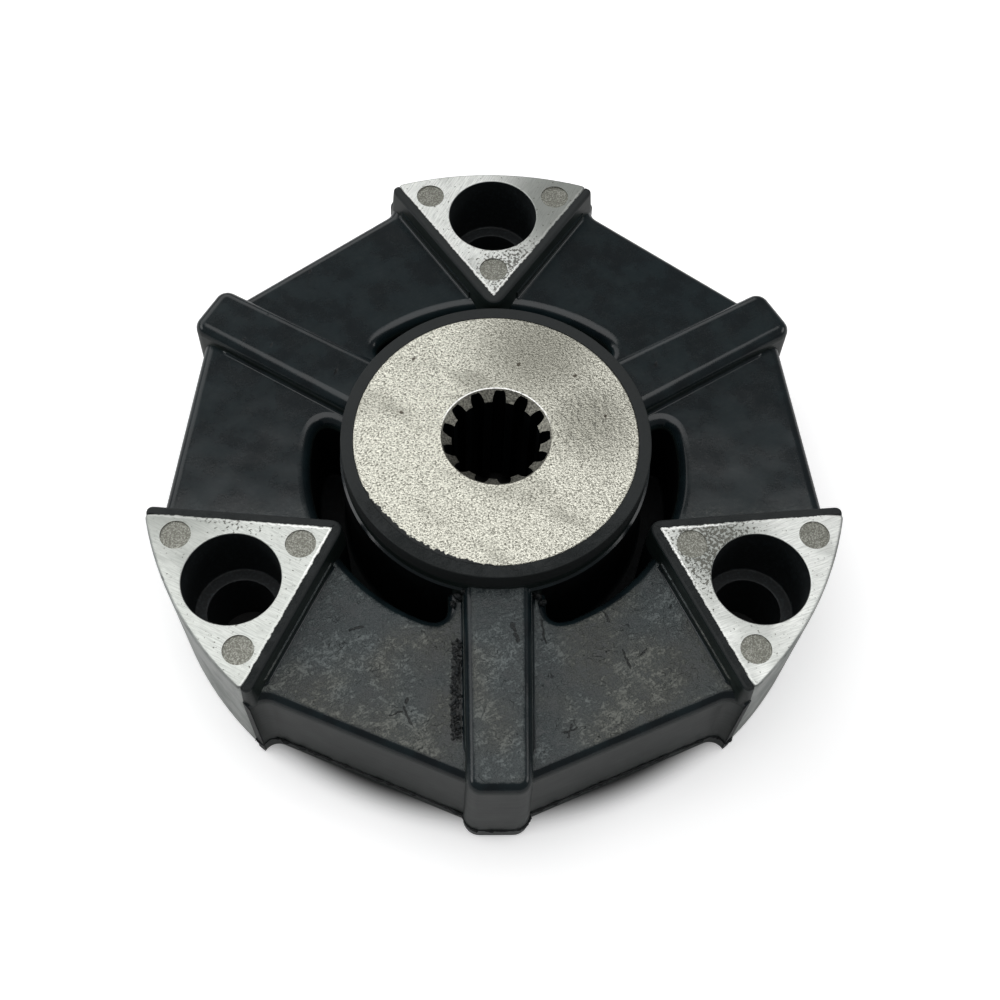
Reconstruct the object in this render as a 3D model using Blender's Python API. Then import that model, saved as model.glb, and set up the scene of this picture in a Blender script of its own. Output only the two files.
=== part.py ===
# Flexible pump coupling: a splined hub and three bolt inserts bonded into one rubber moulding.
# The splined hub slides on the pump shaft. The inserts are bolted down on the engine flywheel.
# Metres, +Z up. The origin is on the shaft axis, in the plane the inserts are bolted down on.

from math import acos, asin, atan2, cos, hypot, pi, radians, sin, sqrt, tan

import bmesh
import bpy

MM = 0.001

# Whole coupling
COUPLING_RADIUS = 75.0 * MM        # outer faces of the inserts and outer ends of the ribs
HUB_RADIUS = 30.4 * MM
HUB_RING_WALL = 2.6 * MM           # rubber round the hub
INSERT_HEIGHT = 34.0 * MM
INSERT_ANGLES = (radians(90), radians(210), radians(330))
RIB_ANGLES = (radians(30), radians(150), radians(270))
BOND_GAP = 0.3 * MM                # room kept between rubber and metal

# Widths in plan between the hub ring and the coupling's edge are given in this unit. It is a
# millimetre while that band is 42 mm wide, and grows and shrinks with the band.
BAND_MM = (COUPLING_RADIUS - HUB_RADIUS - HUB_RING_WALL) / 42.0

# Splined hub
HUB_STANDOUT = 4.2 * MM            # hub face above the tops of the inserts
HUB_UNDERSIDE = 2.0 * MM           # hub underside above the bolting plane
HUB_EDGE_ROUND = 0.4 * MM
SPLINE_TEETH = 13
SPLINE_PITCH_RADIUS = 10.32 * MM
SPLINE_ADDENDUM = 0.8 * MM         # pitch circle to the tips of the teeth
SPLINE_DEDENDUM = 1.18 * MM        # pitch circle to the floors of the grooves
SPLINE_SPACE = 2.8 * MM            # width of a groove on the pitch circle
SPLINE_PRESSURE_ANGLE = radians(20)
SPLINE_ROOT_ROUND = 0.35 * MM
SPLINE_FIRST_GROOVE = radians(85.3)
LEAD_IN_RADIUS = 11.8 * MM         # turned lead-in at both mouths of the bore
LEAD_IN_DEPTH = 1.7 * MM

# Arms of the hub, buried in the ribs, and the rubber left over them
ARM_SIDE_COVER = 3.3 * BAND_MM
ARM_END_COVER = 9.0 * BAND_MM
ARM_TOP_COVER = 5.0 * MM
ARM_FOOT_COVER = 6.2 * MM
ARM_EDGE_ROUND = 1.2 * MM

# Bolt inserts
BOLT_CIRCLE_RADIUS = COUPLING_RADIUS - 12.5 * BAND_MM
INSERT_FLANK_ANGLE = radians(34.8)
INSERT_TIP_ROUND = 0.7 * MM
INSERT_CORNER_ROUND = 0.9 * MM
INSERT_RIM_ROUND = 0.7 * MM        # cast radius on the outer face's top and bottom edges
COUNTERBORE_RADIUS = 10.15 * BAND_MM
COUNTERBORE_DRAFT = 0.2 * MM
COUNTERBORE_DEPTH = 17.0 * MM
BOLT_HOLE_RADIUS = 7.3 * BAND_MM
BOLT_HOLE_CHAMFER = 0.5 * MM
PIN_MARK_RADIUS = 3.2 * BAND_MM    # ejector-pin marks in the top of each casting
PIN_MARK_DEPTH = 0.3 * MM
PIN_MARK_FROM_FLANK = 4.5 * BAND_MM
PIN_MARK_FROM_FACE = 5.4 * BAND_MM

# Rubber moulding
RUBBER_UNDERSIDE = 0.8 * MM        # clears the flywheel when the inserts are bolted down
PARTING_HEIGHT = 6.0 * MM
HUB_RING_ROUND = 0.9 * MM
BLOCK_DROP = 5.5 * MM              # tops of the blocks below the tops of the inserts
BLOCK_EDGE_TURN = radians(23)      # each outer wall's normal, from the rib beside it
BLOCK_EDGE_ROUND = 2.0 * MM
BLOCK_FOOT_ROUND = 2.0 * MM
WALL_DRAFT = 0.4 * MM
SKIN_WALL = 2.3 * BAND_MM          # rubber round the flanks and tip of each insert
SKIN_EDGE_ROUND = 0.5 * MM
SKIN_LIP = 1.4 * BAND_MM           # the skin runs on past the insert's outer corner
SKIN_FOOT_FILLET = 0.8 * MM
SKIN_CORNER_FILLET = 2.5 * BAND_MM
RIB_DROP = 1.5 * MM                # tops of the ribs below the tops of the inserts
RIB_ROOT_HALF = 7.6 * BAND_MM
RIB_TIP_HALF = 6.9 * BAND_MM
RIB_EDGE_ROUND = 1.6 * MM
RIB_CORNER_ROUND = 3.4 * BAND_MM
RIB_FOOT_FILLET = 1.0 * MM
POCKET_WIDTH = 8.0 * BAND_MM       # moat between the hub ring and the blocks
POCKET_END = 10.2 * BAND_MM        # end of each pocket, from the middle of the rib
POCKET_CORNER = 4.0 * BAND_MM
POCKET_RIM_ROUND = 1.5 * BAND_MM
POCKET_FLOOR = 9.0 * MM            # floor of the moat above the bolting plane
POCKET_FLOOR_FILLET = 1.2 * MM
TIP_CLEARANCE = 4.2 * BAND_MM      # hub ring to the skin on an insert's tip

# How finely round stretches are drawn
RING_STEPS = 64
ROUND_STEPS = 3
CORNER_STEPS = 4
ARC_STEPS = 14
OVERLAP = 0.2 * MM                 # joined solids reach this far into each other
BEYOND = 4.0 * MM                  # cutters run this far past what they cut

# Heights and radii that follow
HUB_TOP = INSERT_HEIGHT + HUB_STANDOUT
BLOCK_TOP = INSERT_HEIGHT - BLOCK_DROP
RIB_TOP = INSERT_HEIGHT - RIB_DROP
ARM_LOW = RUBBER_UNDERSIDE + ARM_FOOT_COVER
ARM_HIGH = RIB_TOP - ARM_TOP_COVER
HUB_RING_RADIUS = HUB_RADIUS + HUB_RING_WALL
INSERT_TIP_RADIUS = HUB_RING_RADIUS + TIP_CLEARANCE + SKIN_WALL
INSERT_APEX = INSERT_TIP_RADIUS - INSERT_TIP_ROUND * (1 / sin(INSERT_FLANK_ANGLE) - 1)
TIP_CENTRE = INSERT_APEX + INSERT_TIP_ROUND / sin(INSERT_FLANK_ANGLE)
SPLINE_TIP_RADIUS = SPLINE_PITCH_RADIUS - SPLINE_ADDENDUM
SPLINE_ROOT_RADIUS = SPLINE_PITCH_RADIUS + SPLINE_DEDENDUM


def clear_scene():
    for thing in list(bpy.data.objects):
        bpy.data.objects.remove(thing, do_unlink=True)


def make_material(name, colour, roughness, metallic):
    material = bpy.data.materials.new(name)
    material.use_nodes = True
    shader = material.node_tree.nodes["Principled BSDF"]
    shader.inputs["Base Color"].default_value = (*colour, 1.0)
    shader.inputs["Roughness"].default_value = roughness
    shader.inputs["Metallic"].default_value = metallic
    return material


def turned(point, angle):
    x, y = point
    return (x * cos(angle) - y * sin(angle), x * sin(angle) + y * cos(angle))


def mirrored(points):
    """The same outline points on the other side of the X axis, in reverse order."""
    return [(x, -y) for x, y in reversed(points)]


def arc(centre, radius, start, end, steps):
    cx, cy = centre
    angles = [start + (end - start) * i / steps for i in range(steps + 1)]
    return [(cx + radius * cos(a), cy + radius * sin(a)) for a in angles]


def rounded_corner(before, corner, after, radius, steps):
    """An arc that touches both edges at a corner of an outline."""
    bx, by = before[0] - corner[0], before[1] - corner[1]
    ax, ay = after[0] - corner[0], after[1] - corner[1]
    b_len, a_len = hypot(bx, by), hypot(ax, ay)
    bx, by, ax, ay = bx / b_len, by / b_len, ax / a_len, ay / a_len
    half = acos(max(-1.0, min(1.0, bx * ax + by * ay))) / 2
    reach = radius / sin(half)
    mx, my = bx + ax, by + ay
    m_len = hypot(mx, my)
    centre = (corner[0] + mx / m_len * reach, corner[1] + my / m_len * reach)
    touch = radius / tan(half)
    start = atan2(corner[1] + by * touch - centre[1], corner[0] + bx * touch - centre[0])
    end = atan2(corner[1] + ay * touch - centre[1], corner[0] + ax * touch - centre[0])
    sweep = (end - start + pi) % (2 * pi) - pi
    return arc(centre, radius, start, start + sweep, steps)


def loft(name, outline, stations, angles=(0.0,)):
    """A closed solid through one outline at several heights, repeated at each angle about Z.

    A station is a height followed by the values that the outline takes there.
    """
    mesh_work = bmesh.new()
    for angle in angles:
        rings = []
        for height, *values in stations:
            points = [turned(point, angle) for point in outline(*values)]
            rings.append([mesh_work.verts.new((x, y, height)) for x, y in points])
        count = len(rings[0])
        for lower, upper in zip(rings, rings[1:]):
            for i in range(count):
                j = (i + 1) % count
                mesh_work.faces.new((lower[i], lower[j], upper[j], upper[i]))
        mesh_work.faces.new(list(reversed(rings[0])))
        mesh_work.faces.new(rings[-1])
    bmesh.ops.recalc_face_normals(mesh_work, faces=mesh_work.faces)
    mesh = bpy.data.meshes.new(name)
    mesh_work.to_mesh(mesh)
    mesh_work.free()
    body = bpy.data.objects.new(name, mesh)
    bpy.context.scene.collection.objects.link(body)
    return body


def combine(body, tool, operation):
    """Joins a tool to a body or cuts it away. The tool itself stays hidden."""
    tool.hide_render = True
    tool.display_type = "WIRE"
    modifier = body.modifiers.new(tool.name, "BOOLEAN")
    modifier.object = tool
    modifier.operation = operation
    modifier.solver = "EXACT"


def finish(body, material):
    body.data.materials.append(material)
    body.data.shade_smooth()
    body.data.set_sharp_from_angle(angle=radians(35))


def round_edge(edge_height, inside, radius, offset=0.0, steps=ROUND_STEPS):
    """Heights and offsets of a rounded edge, from the flat face to the wall.

    inside is +1 where the wall goes up from the face, and -1 where it goes down.
    """
    quarter = [i / steps * pi / 2 for i in range(steps + 1)]
    return [
        (edge_height + inside * radius * (1 - cos(a)), offset - radius * (1 - sin(a)))
        for a in quarter
    ]


def circle(radius):
    return arc((0.0, 0.0), radius, 0.0, 2 * pi * (1 - 1 / RING_STEPS), RING_STEPS - 1)


# Splined hub

def involute(angle):
    return tan(angle) - angle


def groove_half_angle(radius):
    """Half the angle of a groove at a radius, between its two involute flanks."""
    base = SPLINE_PITCH_RADIUS * cos(SPLINE_PRESSURE_ANGLE)
    at_pitch = SPLINE_SPACE / 2 / SPLINE_PITCH_RADIUS + involute(SPLINE_PRESSURE_ANGLE)
    return at_pitch - involute(acos(min(1.0, base / radius)))


def spline_outline():
    """The bore's outline: a groove with involute flanks and a rounded floor, once for each tooth."""
    flank_top = SPLINE_ROOT_RADIUS - SPLINE_ROOT_ROUND
    radii = [SPLINE_TIP_RADIUS + (flank_top - SPLINE_TIP_RADIUS) * i / 3 for i in range(4)]
    half = [(radius, groove_half_angle(radius)) for radius in radii]
    floor_edge = groove_half_angle(flank_top) - SPLINE_ROOT_ROUND / SPLINE_ROOT_RADIUS
    middle = (groove_half_angle(flank_top) + floor_edge) / 2
    half.append((flank_top + SPLINE_ROOT_ROUND * sin(pi / 3), middle))
    half.append((SPLINE_ROOT_RADIUS, floor_edge))
    outline = []
    for tooth in range(SPLINE_TEETH):
        groove = SPLINE_FIRST_GROOVE + 2 * pi * tooth / SPLINE_TEETH
        for radius, angle in half:
            outline.append((radius * cos(groove - angle), radius * sin(groove - angle)))
        for radius, angle in reversed(half):
            outline.append((radius * cos(groove + angle), radius * sin(groove + angle)))
    return outline


def arm_outline(grow):
    """One arm of the hub in plan, tapering outwards to a rounded end."""
    start = HUB_RADIUS / 2
    end = COUPLING_RADIUS - ARM_END_COVER + grow
    tip_half = RIB_TIP_HALF - ARM_SIDE_COVER + grow
    root_half = RIB_ROOT_HALF - ARM_SIDE_COVER + grow
    tip = arc((end - tip_half, 0.0), tip_half, 0.0, pi / 2, CORNER_STEPS)
    upper = tip + [(start, root_half)]
    return mirrored(upper)[:-1] + upper


def arm_stations(clearance):
    low = round_edge(ARM_LOW - clearance, 1, ARM_EDGE_ROUND, clearance)
    high = round_edge(ARM_HIGH + clearance, -1, ARM_EDGE_ROUND, clearance)
    return low + high[::-1]


def hub_stations(clearance):
    low = round_edge(HUB_UNDERSIDE, 1, HUB_EDGE_ROUND, HUB_RADIUS + clearance, 1)
    high = round_edge(HUB_TOP, -1, HUB_EDGE_ROUND, HUB_RADIUS + clearance, 1)
    return low + high[::-1]


def build_hub():
    hub = loft("splined_hub", circle, hub_stations(0.0))
    combine(hub, loft("hub_arms", arm_outline, arm_stations(0.0), RIB_ANGLES), "UNION")
    bore = [(HUB_UNDERSIDE - BEYOND,), (HUB_TOP + BEYOND,)]
    combine(hub, loft("spline_cutter", spline_outline, bore), "DIFFERENCE")
    slope = (LEAD_IN_RADIUS - SPLINE_TIP_RADIUS) / LEAD_IN_DEPTH
    wide = LEAD_IN_RADIUS + slope * BEYOND
    narrow = SPLINE_TIP_RADIUS - slope * OVERLAP
    deep = LEAD_IN_DEPTH + OVERLAP
    upper = [(HUB_TOP - deep, narrow), (HUB_TOP + BEYOND, wide)]
    lower = [(HUB_UNDERSIDE - BEYOND, wide), (HUB_UNDERSIDE + deep, narrow)]
    combine(hub, loft("upper_lead_in_cutter", circle, upper), "DIFFERENCE")
    combine(hub, loft("lower_lead_in_cutter", circle, lower), "DIFFERENCE")
    finish(hub, make_material("ground_cast_iron", (0.55, 0.54, 0.50), 0.45, 1.0))
    return hub


# Bolt inserts. Their outlines lie along +X and are turned to each insert's own angle.

def flank_point(along, offset):
    """A point on an insert's flank, measured from the flank's apex and out from the metal."""
    x = INSERT_APEX + along * cos(INSERT_FLANK_ANGLE) - offset * sin(INSERT_FLANK_ANGLE)
    y = along * sin(INSERT_FLANK_ANGLE) + offset * cos(INSERT_FLANK_ANGLE)
    return (x, y)


def flank_reach(radius):
    """How far along the flank a circle about the shaft axis cuts it."""
    side = INSERT_APEX * sin(INSERT_FLANK_ANGLE)
    return sqrt(radius ** 2 - side ** 2) - INSERT_APEX * cos(INSERT_FLANK_ANGLE)


def tip_arc(offset):
    """Half of the rounded tip, from the flank round to the insert's own axis."""
    touch = pi / 2 + INSERT_FLANK_ANGLE
    return arc((TIP_CENTRE, 0.0), INSERT_TIP_ROUND + offset, touch, pi, CORNER_STEPS)


def insert_outline(rim_inset):
    radius = COUPLING_RADIUS - rim_inset
    corner = flank_point(flank_reach(radius), 0.0)
    face = arc((0.0, 0.0), radius, 0.0, atan2(corner[1], corner[0]), ARC_STEPS // 2)
    tip = tip_arc(0.0)
    outer = rounded_corner(face[-2], face[-1], tip[0], INSERT_CORNER_ROUND, CORNER_STEPS)
    upper = face[:-1] + outer + tip
    return mirrored(upper)[1:-1] + upper


def bolt_hole_stations():
    floor = INSERT_HEIGHT - COUNTERBORE_DEPTH
    narrow = COUNTERBORE_RADIUS - COUNTERBORE_DRAFT
    chamfer = BOLT_HOLE_CHAMFER
    return [
        (-BEYOND, BOLT_HOLE_RADIUS),
        (floor - chamfer, BOLT_HOLE_RADIUS),
        (floor, BOLT_HOLE_RADIUS + chamfer),
        (floor, narrow),
        (INSERT_HEIGHT, COUNTERBORE_RADIUS),
        (INSERT_HEIGHT + BEYOND, COUNTERBORE_RADIUS),
    ]


def bolt_hole_outline(radius):
    return arc((BOLT_CIRCLE_RADIUS, 0.0), radius, 0.0, 2 * pi * 35 / 36, 35)


def pin_mark_outlines():
    """Ejector-pin marks: one behind the tip and one in each outer corner."""
    middle = INSERT_APEX + PIN_MARK_FROM_FLANK / sin(INSERT_FLANK_ANGLE)
    side = middle * sin(INSERT_FLANK_ANGLE)
    ring = COUPLING_RADIUS - PIN_MARK_FROM_FACE
    along = sqrt(ring ** 2 - side ** 2) - middle * cos(INSERT_FLANK_ANGLE)
    x = middle + along * cos(INSERT_FLANK_ANGLE)
    y = along * sin(INSERT_FLANK_ANGLE)
    places = [(middle, 0.0), (x, -y), (x, y)]
    return [arc(place, PIN_MARK_RADIUS, 0.0, 2 * pi * 19 / 20, 19) for place in places]


def build_insert(number, angle, material):
    rim = INSERT_RIM_ROUND
    stations = [
        (0.0, rim),
        (rim, 0.0),
        (INSERT_HEIGHT - rim, 0.0),
        (INSERT_HEIGHT - rim * (1 - sin(pi / 4)), rim * (1 - cos(pi / 4))),
        (INSERT_HEIGHT, rim),
    ]
    insert = loft(f"bolt_insert_{number}", insert_outline, stations, (angle,))
    hole = loft(f"bolt_hole_cutter_{number}", bolt_hole_outline, bolt_hole_stations(), (angle,))
    combine(insert, hole, "DIFFERENCE")
    heights = [(INSERT_HEIGHT - PIN_MARK_DEPTH,), (INSERT_HEIGHT + BEYOND,)]
    for mark, outline in enumerate(pin_mark_outlines(), start=1):
        pin = loft(f"pin_mark_cutter_{number}_{mark}", lambda points=outline: points, heights, (angle,))
        combine(insert, pin, "DIFFERENCE")
    finish(insert, material)
    return insert


# Rubber moulding

def block_outline(grow):
    """Plan of the six blocks together: two straight walls between neighbouring ribs, one each
    side of an insert, that meet on the ribs' middle lines. A fillet leads each into the skin."""
    wall = COUPLING_RADIUS * cos(BLOCK_EDGE_TURN) + grow
    rib_vertex = turned((wall / cos(BLOCK_EDGE_TURN), 0.0), radians(60))
    normal = (cos(radians(60) - BLOCK_EDGE_TURN), sin(radians(60) - BLOCK_EDGE_TURN))
    inside = SKIN_WALL - OVERLAP
    start, ahead = flank_point(0.0, inside), flank_point(1.0, inside)
    rise = (ahead[0] - start[0]) * normal[0] + (ahead[1] - start[1]) * normal[1]
    along = (wall - start[0] * normal[0] - start[1] * normal[1]) / rise
    meet = flank_point(along, inside)
    lip = flank_point(flank_reach(COUPLING_RADIUS) + grow, inside)
    fillet = rounded_corner(lip, meet, rib_vertex, SKIN_CORNER_FILLET, CORNER_STEPS)
    side = [lip] + fillet + [rib_vertex]
    whole = []
    for angle in INSERT_ANGLES:
        whole += [turned(point, angle) for point in mirrored(side)[1:] + side]
    return whole


def block_stations():
    foot = round_edge(RUBBER_UNDERSIDE, 1, BLOCK_FOOT_ROUND)
    head = round_edge(BLOCK_TOP, -1, BLOCK_EDGE_ROUND, -WALL_DRAFT)
    return foot + [(PARTING_HEIGHT, 0.0)] + head[::-1]


def pocket_outline(grow):
    """One moat pocket round an insert's tip, from the rib on one side to the rib on the other.
    Its inner edge runs inside the hub ring, which closes it."""
    outer = HUB_RING_RADIUS + POCKET_WIDTH + grow
    inner = HUB_RADIUS + HUB_RING_WALL / 2
    end = POCKET_END - grow
    corner = POCKET_CORNER + grow
    centre = (sqrt((outer - corner) ** 2 - (end + corner) ** 2), end + corner)
    bend = arc(centre, corner, atan2(centre[1], centre[0]), -pi / 2, CORNER_STEPS)
    rib_side = [(x, -y) for x, y in bend] + [(inner * cos(asin(end / inner)), -end)]
    upper = [turned(point, radians(60)) for point in rib_side]
    far = arc((0.0, 0.0), outer, 0.0, atan2(upper[0][1], upper[0][0]), ARC_STEPS // 2)
    near = arc((0.0, 0.0), inner, atan2(upper[-1][1], upper[-1][0]), 0.0, ARC_STEPS // 2)
    half = far[:-1] + upper + near[1:]
    return mirrored(half)[1:-1] + half


def pocket_stations():
    floor = round_edge(POCKET_FLOOR, 1, POCKET_FLOOR_FILLET)
    rim = POCKET_RIM_ROUND
    quarter = [i / ROUND_STEPS * pi / 2 for i in range(ROUND_STEPS, -1, -1)]
    head = [(BLOCK_TOP - rim * (1 - cos(a)), rim * (1 - sin(a))) for a in quarter]
    return floor + head + [(BLOCK_TOP + BEYOND, rim)]


def hub_ring_stations():
    """The rubber round the hub, with a fillet on the moat's floor and a rounded top edge."""
    fillet = POCKET_FLOOR_FILLET
    quarter = [i / ROUND_STEPS * pi / 2 for i in range(1, ROUND_STEPS + 1)]
    foot = [(RUBBER_UNDERSIDE, HUB_RING_RADIUS), (POCKET_FLOOR - 2 * fillet, HUB_RING_RADIUS)]
    foot.append((POCKET_FLOOR - OVERLAP, HUB_RING_RADIUS + fillet))
    for a in quarter:
        foot.append((POCKET_FLOOR + fillet * (1 - cos(a)), HUB_RING_RADIUS + fillet * (1 - sin(a))))
    return foot + round_edge(HUB_TOP, -1, HUB_RING_ROUND, HUB_RING_RADIUS)[::-1]


def rib_outline(grow, fillet):
    """One rib in plan. The fillet widens it where it meets the tops of the blocks."""
    start = HUB_RADIUS - HUB_RING_WALL
    end = COUPLING_RADIUS + grow
    root_half = RIB_ROOT_HALF + grow
    tip_half = RIB_TIP_HALF + grow
    shoulder = COUPLING_RADIUS - RIB_CORNER_ROUND - BLOCK_EDGE_ROUND
    share = (shoulder - start) / (end - start)
    shoulder_half = root_half + (tip_half - root_half) * share
    corner = rounded_corner((end, 0.0), (end, tip_half), (start, root_half), RIB_CORNER_ROUND, CORNER_STEPS)
    upper = corner + [(shoulder, shoulder_half + fillet), (start, root_half + fillet)]
    return mirrored(upper) + upper


def footed_stations(top, edge_round, foot_round, fillet):
    """Stations of a raised form: rounded foot, drafted wall, fillet on the blocks and rounded top."""
    foot = [(z, grow, 0.0) for z, grow in round_edge(RUBBER_UNDERSIDE, 1, foot_round)]
    wall = [(PARTING_HEIGHT, 0.0, 0.0), (BLOCK_TOP - 2 * fillet, -WALL_DRAFT, 0.0)]
    quarter = [i / ROUND_STEPS * pi / 2 for i in range(1, ROUND_STEPS + 1)]
    toe = [(BLOCK_TOP - OVERLAP, -WALL_DRAFT, fillet)]
    toe += [(BLOCK_TOP + fillet * (1 - cos(a)), -WALL_DRAFT, fillet * (1 - sin(a))) for a in quarter]
    head = [(z, grow, 0.0) for z, grow in round_edge(top, -1, edge_round, -WALL_DRAFT)]
    return foot + wall + toe + head[::-1]


def skin_outline(grow, fillet):
    """The rubber round one insert in plan. The insert and its own room are cut from it later."""
    offset = SKIN_WALL + grow
    corner = flank_reach(COUPLING_RADIUS)
    lip = corner + SKIN_LIP + grow
    first = flank_reach(HUB_RING_RADIUS + POCKET_WIDTH + POCKET_RIM_ROUND)
    last = corner - SKIN_LIP - BLOCK_EDGE_ROUND
    inner = flank_point(lip, -SKIN_WALL)
    outer = flank_point(lip, offset)
    back = flank_point(last, offset)
    nose = rounded_corner(inner, outer, back, SKIN_WALL / 2, CORNER_STEPS)
    side = [flank_point(last, offset + fillet), flank_point(first, offset + fillet)]
    upper = [inner] + nose + side + tip_arc(offset)
    return mirrored(upper)[1:] + upper


def insert_room_outline():
    """The room for one insert, open outwards past the rubber."""
    far = flank_point(flank_reach(COUPLING_RADIUS + 3 * BEYOND), BOND_GAP)
    upper = [far] + tip_arc(BOND_GAP)
    return mirrored(upper)[1:] + upper


def build_rubber():
    rubber = loft("rubber_body", block_outline, block_stations())
    pockets = loft("pocket_cutters", pocket_outline, pocket_stations(), INSERT_ANGLES)
    combine(rubber, pockets, "DIFFERENCE")
    combine(rubber, loft("hub_ring", circle, hub_ring_stations()), "UNION")
    rib_stations = footed_stations(RIB_TOP, RIB_EDGE_ROUND, BLOCK_FOOT_ROUND, RIB_FOOT_FILLET)
    combine(rubber, loft("ribs", rib_outline, rib_stations, RIB_ANGLES), "UNION")
    skin_stations = footed_stations(INSERT_HEIGHT, SKIN_EDGE_ROUND, SKIN_EDGE_ROUND, SKIN_FOOT_FILLET)
    combine(rubber, loft("insert_skins", skin_outline, skin_stations, INSERT_ANGLES), "UNION")
    through = [(-BEYOND,), (INSERT_HEIGHT + BEYOND,)]
    rooms = loft("insert_room_cutters", insert_room_outline, through, INSERT_ANGLES)
    combine(rubber, rooms, "DIFFERENCE")
    bore = [(-BEYOND, HUB_RADIUS + BOND_GAP), (HUB_TOP + BEYOND, HUB_RADIUS + BOND_GAP)]
    combine(rubber, loft("hub_room_cutter", circle, bore), "DIFFERENCE")
    arm_rooms = loft("arm_room_cutters", arm_outline, arm_stations(BOND_GAP), RIB_ANGLES)
    combine(rubber, arm_rooms, "DIFFERENCE")
    finish(rubber, make_material("moulded_rubber", (0.018, 0.021, 0.023), 0.62, 0.0))
    return rubber


clear_scene()
build_rubber()
build_hub()
sanded_aluminium = make_material("sanded_aluminium", (0.62, 0.63, 0.63), 0.38, 1.0)
for insert_number, insert_angle in enumerate(INSERT_ANGLES, start=1):
    build_insert(insert_number, insert_angle, sanded_aluminium)
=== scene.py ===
"""Flexible pump coupling, 150 mm across: a splined hub and three aluminium bolt inserts,
vulcanised into one rubber moulding. Metres, +Z up, the shaft axis at the origin."""

from math import atan2, cos, hypot, pi, radians, sin, sqrt, tan
from random import Random

import bmesh
import bpy
from mathutils import Matrix, Vector


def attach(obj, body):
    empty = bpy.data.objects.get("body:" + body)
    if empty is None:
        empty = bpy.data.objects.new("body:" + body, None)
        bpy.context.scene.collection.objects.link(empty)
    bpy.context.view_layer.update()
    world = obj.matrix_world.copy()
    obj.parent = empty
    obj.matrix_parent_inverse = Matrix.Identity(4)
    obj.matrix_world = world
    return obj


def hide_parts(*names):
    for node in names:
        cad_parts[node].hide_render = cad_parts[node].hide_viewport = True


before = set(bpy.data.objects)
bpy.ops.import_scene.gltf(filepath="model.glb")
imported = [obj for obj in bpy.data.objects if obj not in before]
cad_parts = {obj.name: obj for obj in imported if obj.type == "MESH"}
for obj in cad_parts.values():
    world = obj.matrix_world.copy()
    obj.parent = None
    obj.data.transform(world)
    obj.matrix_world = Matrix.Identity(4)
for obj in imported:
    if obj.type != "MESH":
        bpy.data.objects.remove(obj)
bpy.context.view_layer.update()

# Bolt inserts: three wedge-shaped aluminium die castings. Each was coated black and sanded bright
# on its top, and has a counterbored hole for one M12 cap screw. The mould's ejector pins left
# three low round marks, which the sanding didn't reach.

MM = 0.001
COUPLING_RADIUS = 75.0 * MM
BOLT_CIRCLE_RADIUS = 62.5 * MM
INSERT_HEIGHT = 34.0 * MM
INSERT_ANGLES = (radians(90), radians(210), radians(330))
FLANK_ANGLE = radians(34.8)
INSERT_TIP_ROUND = 0.7 * MM
INSERT_APEX = 38.975 * MM
RING_SIDES = 180
TOOL_FOOT = -4.0 * MM
TOOL_TOP = 45.0 * MM
# Places and heights that differ by less than these count as one
SAME_HEIGHT = 0.01 * MM
SAME_PLACE = 0.05 * MM


def blank(name, radius, low, high, sides=RING_SIDES, at=(0.0, 0.0)):
    """A round blank between two heights, left open in edit mode."""
    bpy.ops.object.select_all(action="DESELECT")
    middle = (at[0], at[1], (low + high) / 2)
    bpy.ops.mesh.primitive_cylinder_add(vertices=sides, radius=radius, depth=high - low, location=middle)
    bpy.ops.object.transform_apply(location=True, rotation=True, scale=True)
    piece = bpy.context.object
    piece.name = piece.data.name = name
    bpy.ops.object.mode_set(mode="EDIT")
    return piece


def saw(point, normal):
    """Cuts off what lies beyond a plane and closes the cut."""
    bpy.ops.mesh.select_all(action="SELECT")
    bpy.ops.mesh.bisect(plane_co=point, plane_no=normal, use_fill=True, clear_outer=True)


def pick(kind, test):
    """Selects the edges or faces whose middle and direction pass a test."""
    bpy.ops.mesh.select_mode(type=kind)
    bpy.ops.mesh.select_all(action="DESELECT")
    data = bpy.context.object.data
    work = bmesh.from_edit_mesh(data)
    work.normal_update()
    if kind == "EDGE":
        for edge in work.edges:
            a, b = edge.verts
            edge.select_set(test((a.co + b.co) / 2, (b.co - a.co).normalized()))
    else:
        for face in work.faces:
            face.select_set(test(face.calc_center_median(), face.normal))
    bmesh.update_edit_mesh(data)


def upright(place):
    """A test for the upright edge that stands at a place in the plan."""
    return lambda middle, along: (
        abs(along.z) > 0.99 and hypot(middle.x - place[0], middle.y - place[1]) < SAME_PLACE
    )


def round_off(touch, segments):
    """Rounds the selected edges, starting this far from each."""
    bpy.ops.mesh.bevel(offset=touch, offset_type="OFFSET", segments=segments, profile=0.5, affect="EDGES")


def round_corner(place, touch, segments):
    """Rounds an upright corner, after joining the narrow facets beside it into one."""
    pick("EDGE", lambda middle, along: abs(along.z) > 0.99
         and 0.02 * MM < hypot(middle.x - place[0], middle.y - place[1]) < touch + 0.9 * MM)
    bpy.ops.mesh.dissolve_edges(use_verts=True)
    pick("EDGE", upright(place))
    round_off(touch, segments)


def close(piece):
    """Leaves edit mode and hands the piece on."""
    bpy.ops.object.mode_set(mode="OBJECT")
    return piece


def combine(body, tool, operation):
    """Joins a tool to a body or cuts it away, and uses the tool up."""
    bpy.ops.object.select_all(action="DESELECT")
    body.select_set(True)
    bpy.context.view_layer.objects.active = body
    modifier = body.modifiers.new(tool.name, "BOOLEAN")
    modifier.object = tool
    modifier.operation = operation
    modifier.solver = "EXACT"
    bpy.ops.object.modifier_apply(modifier=modifier.name)
    bpy.data.objects.remove(tool)


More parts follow.
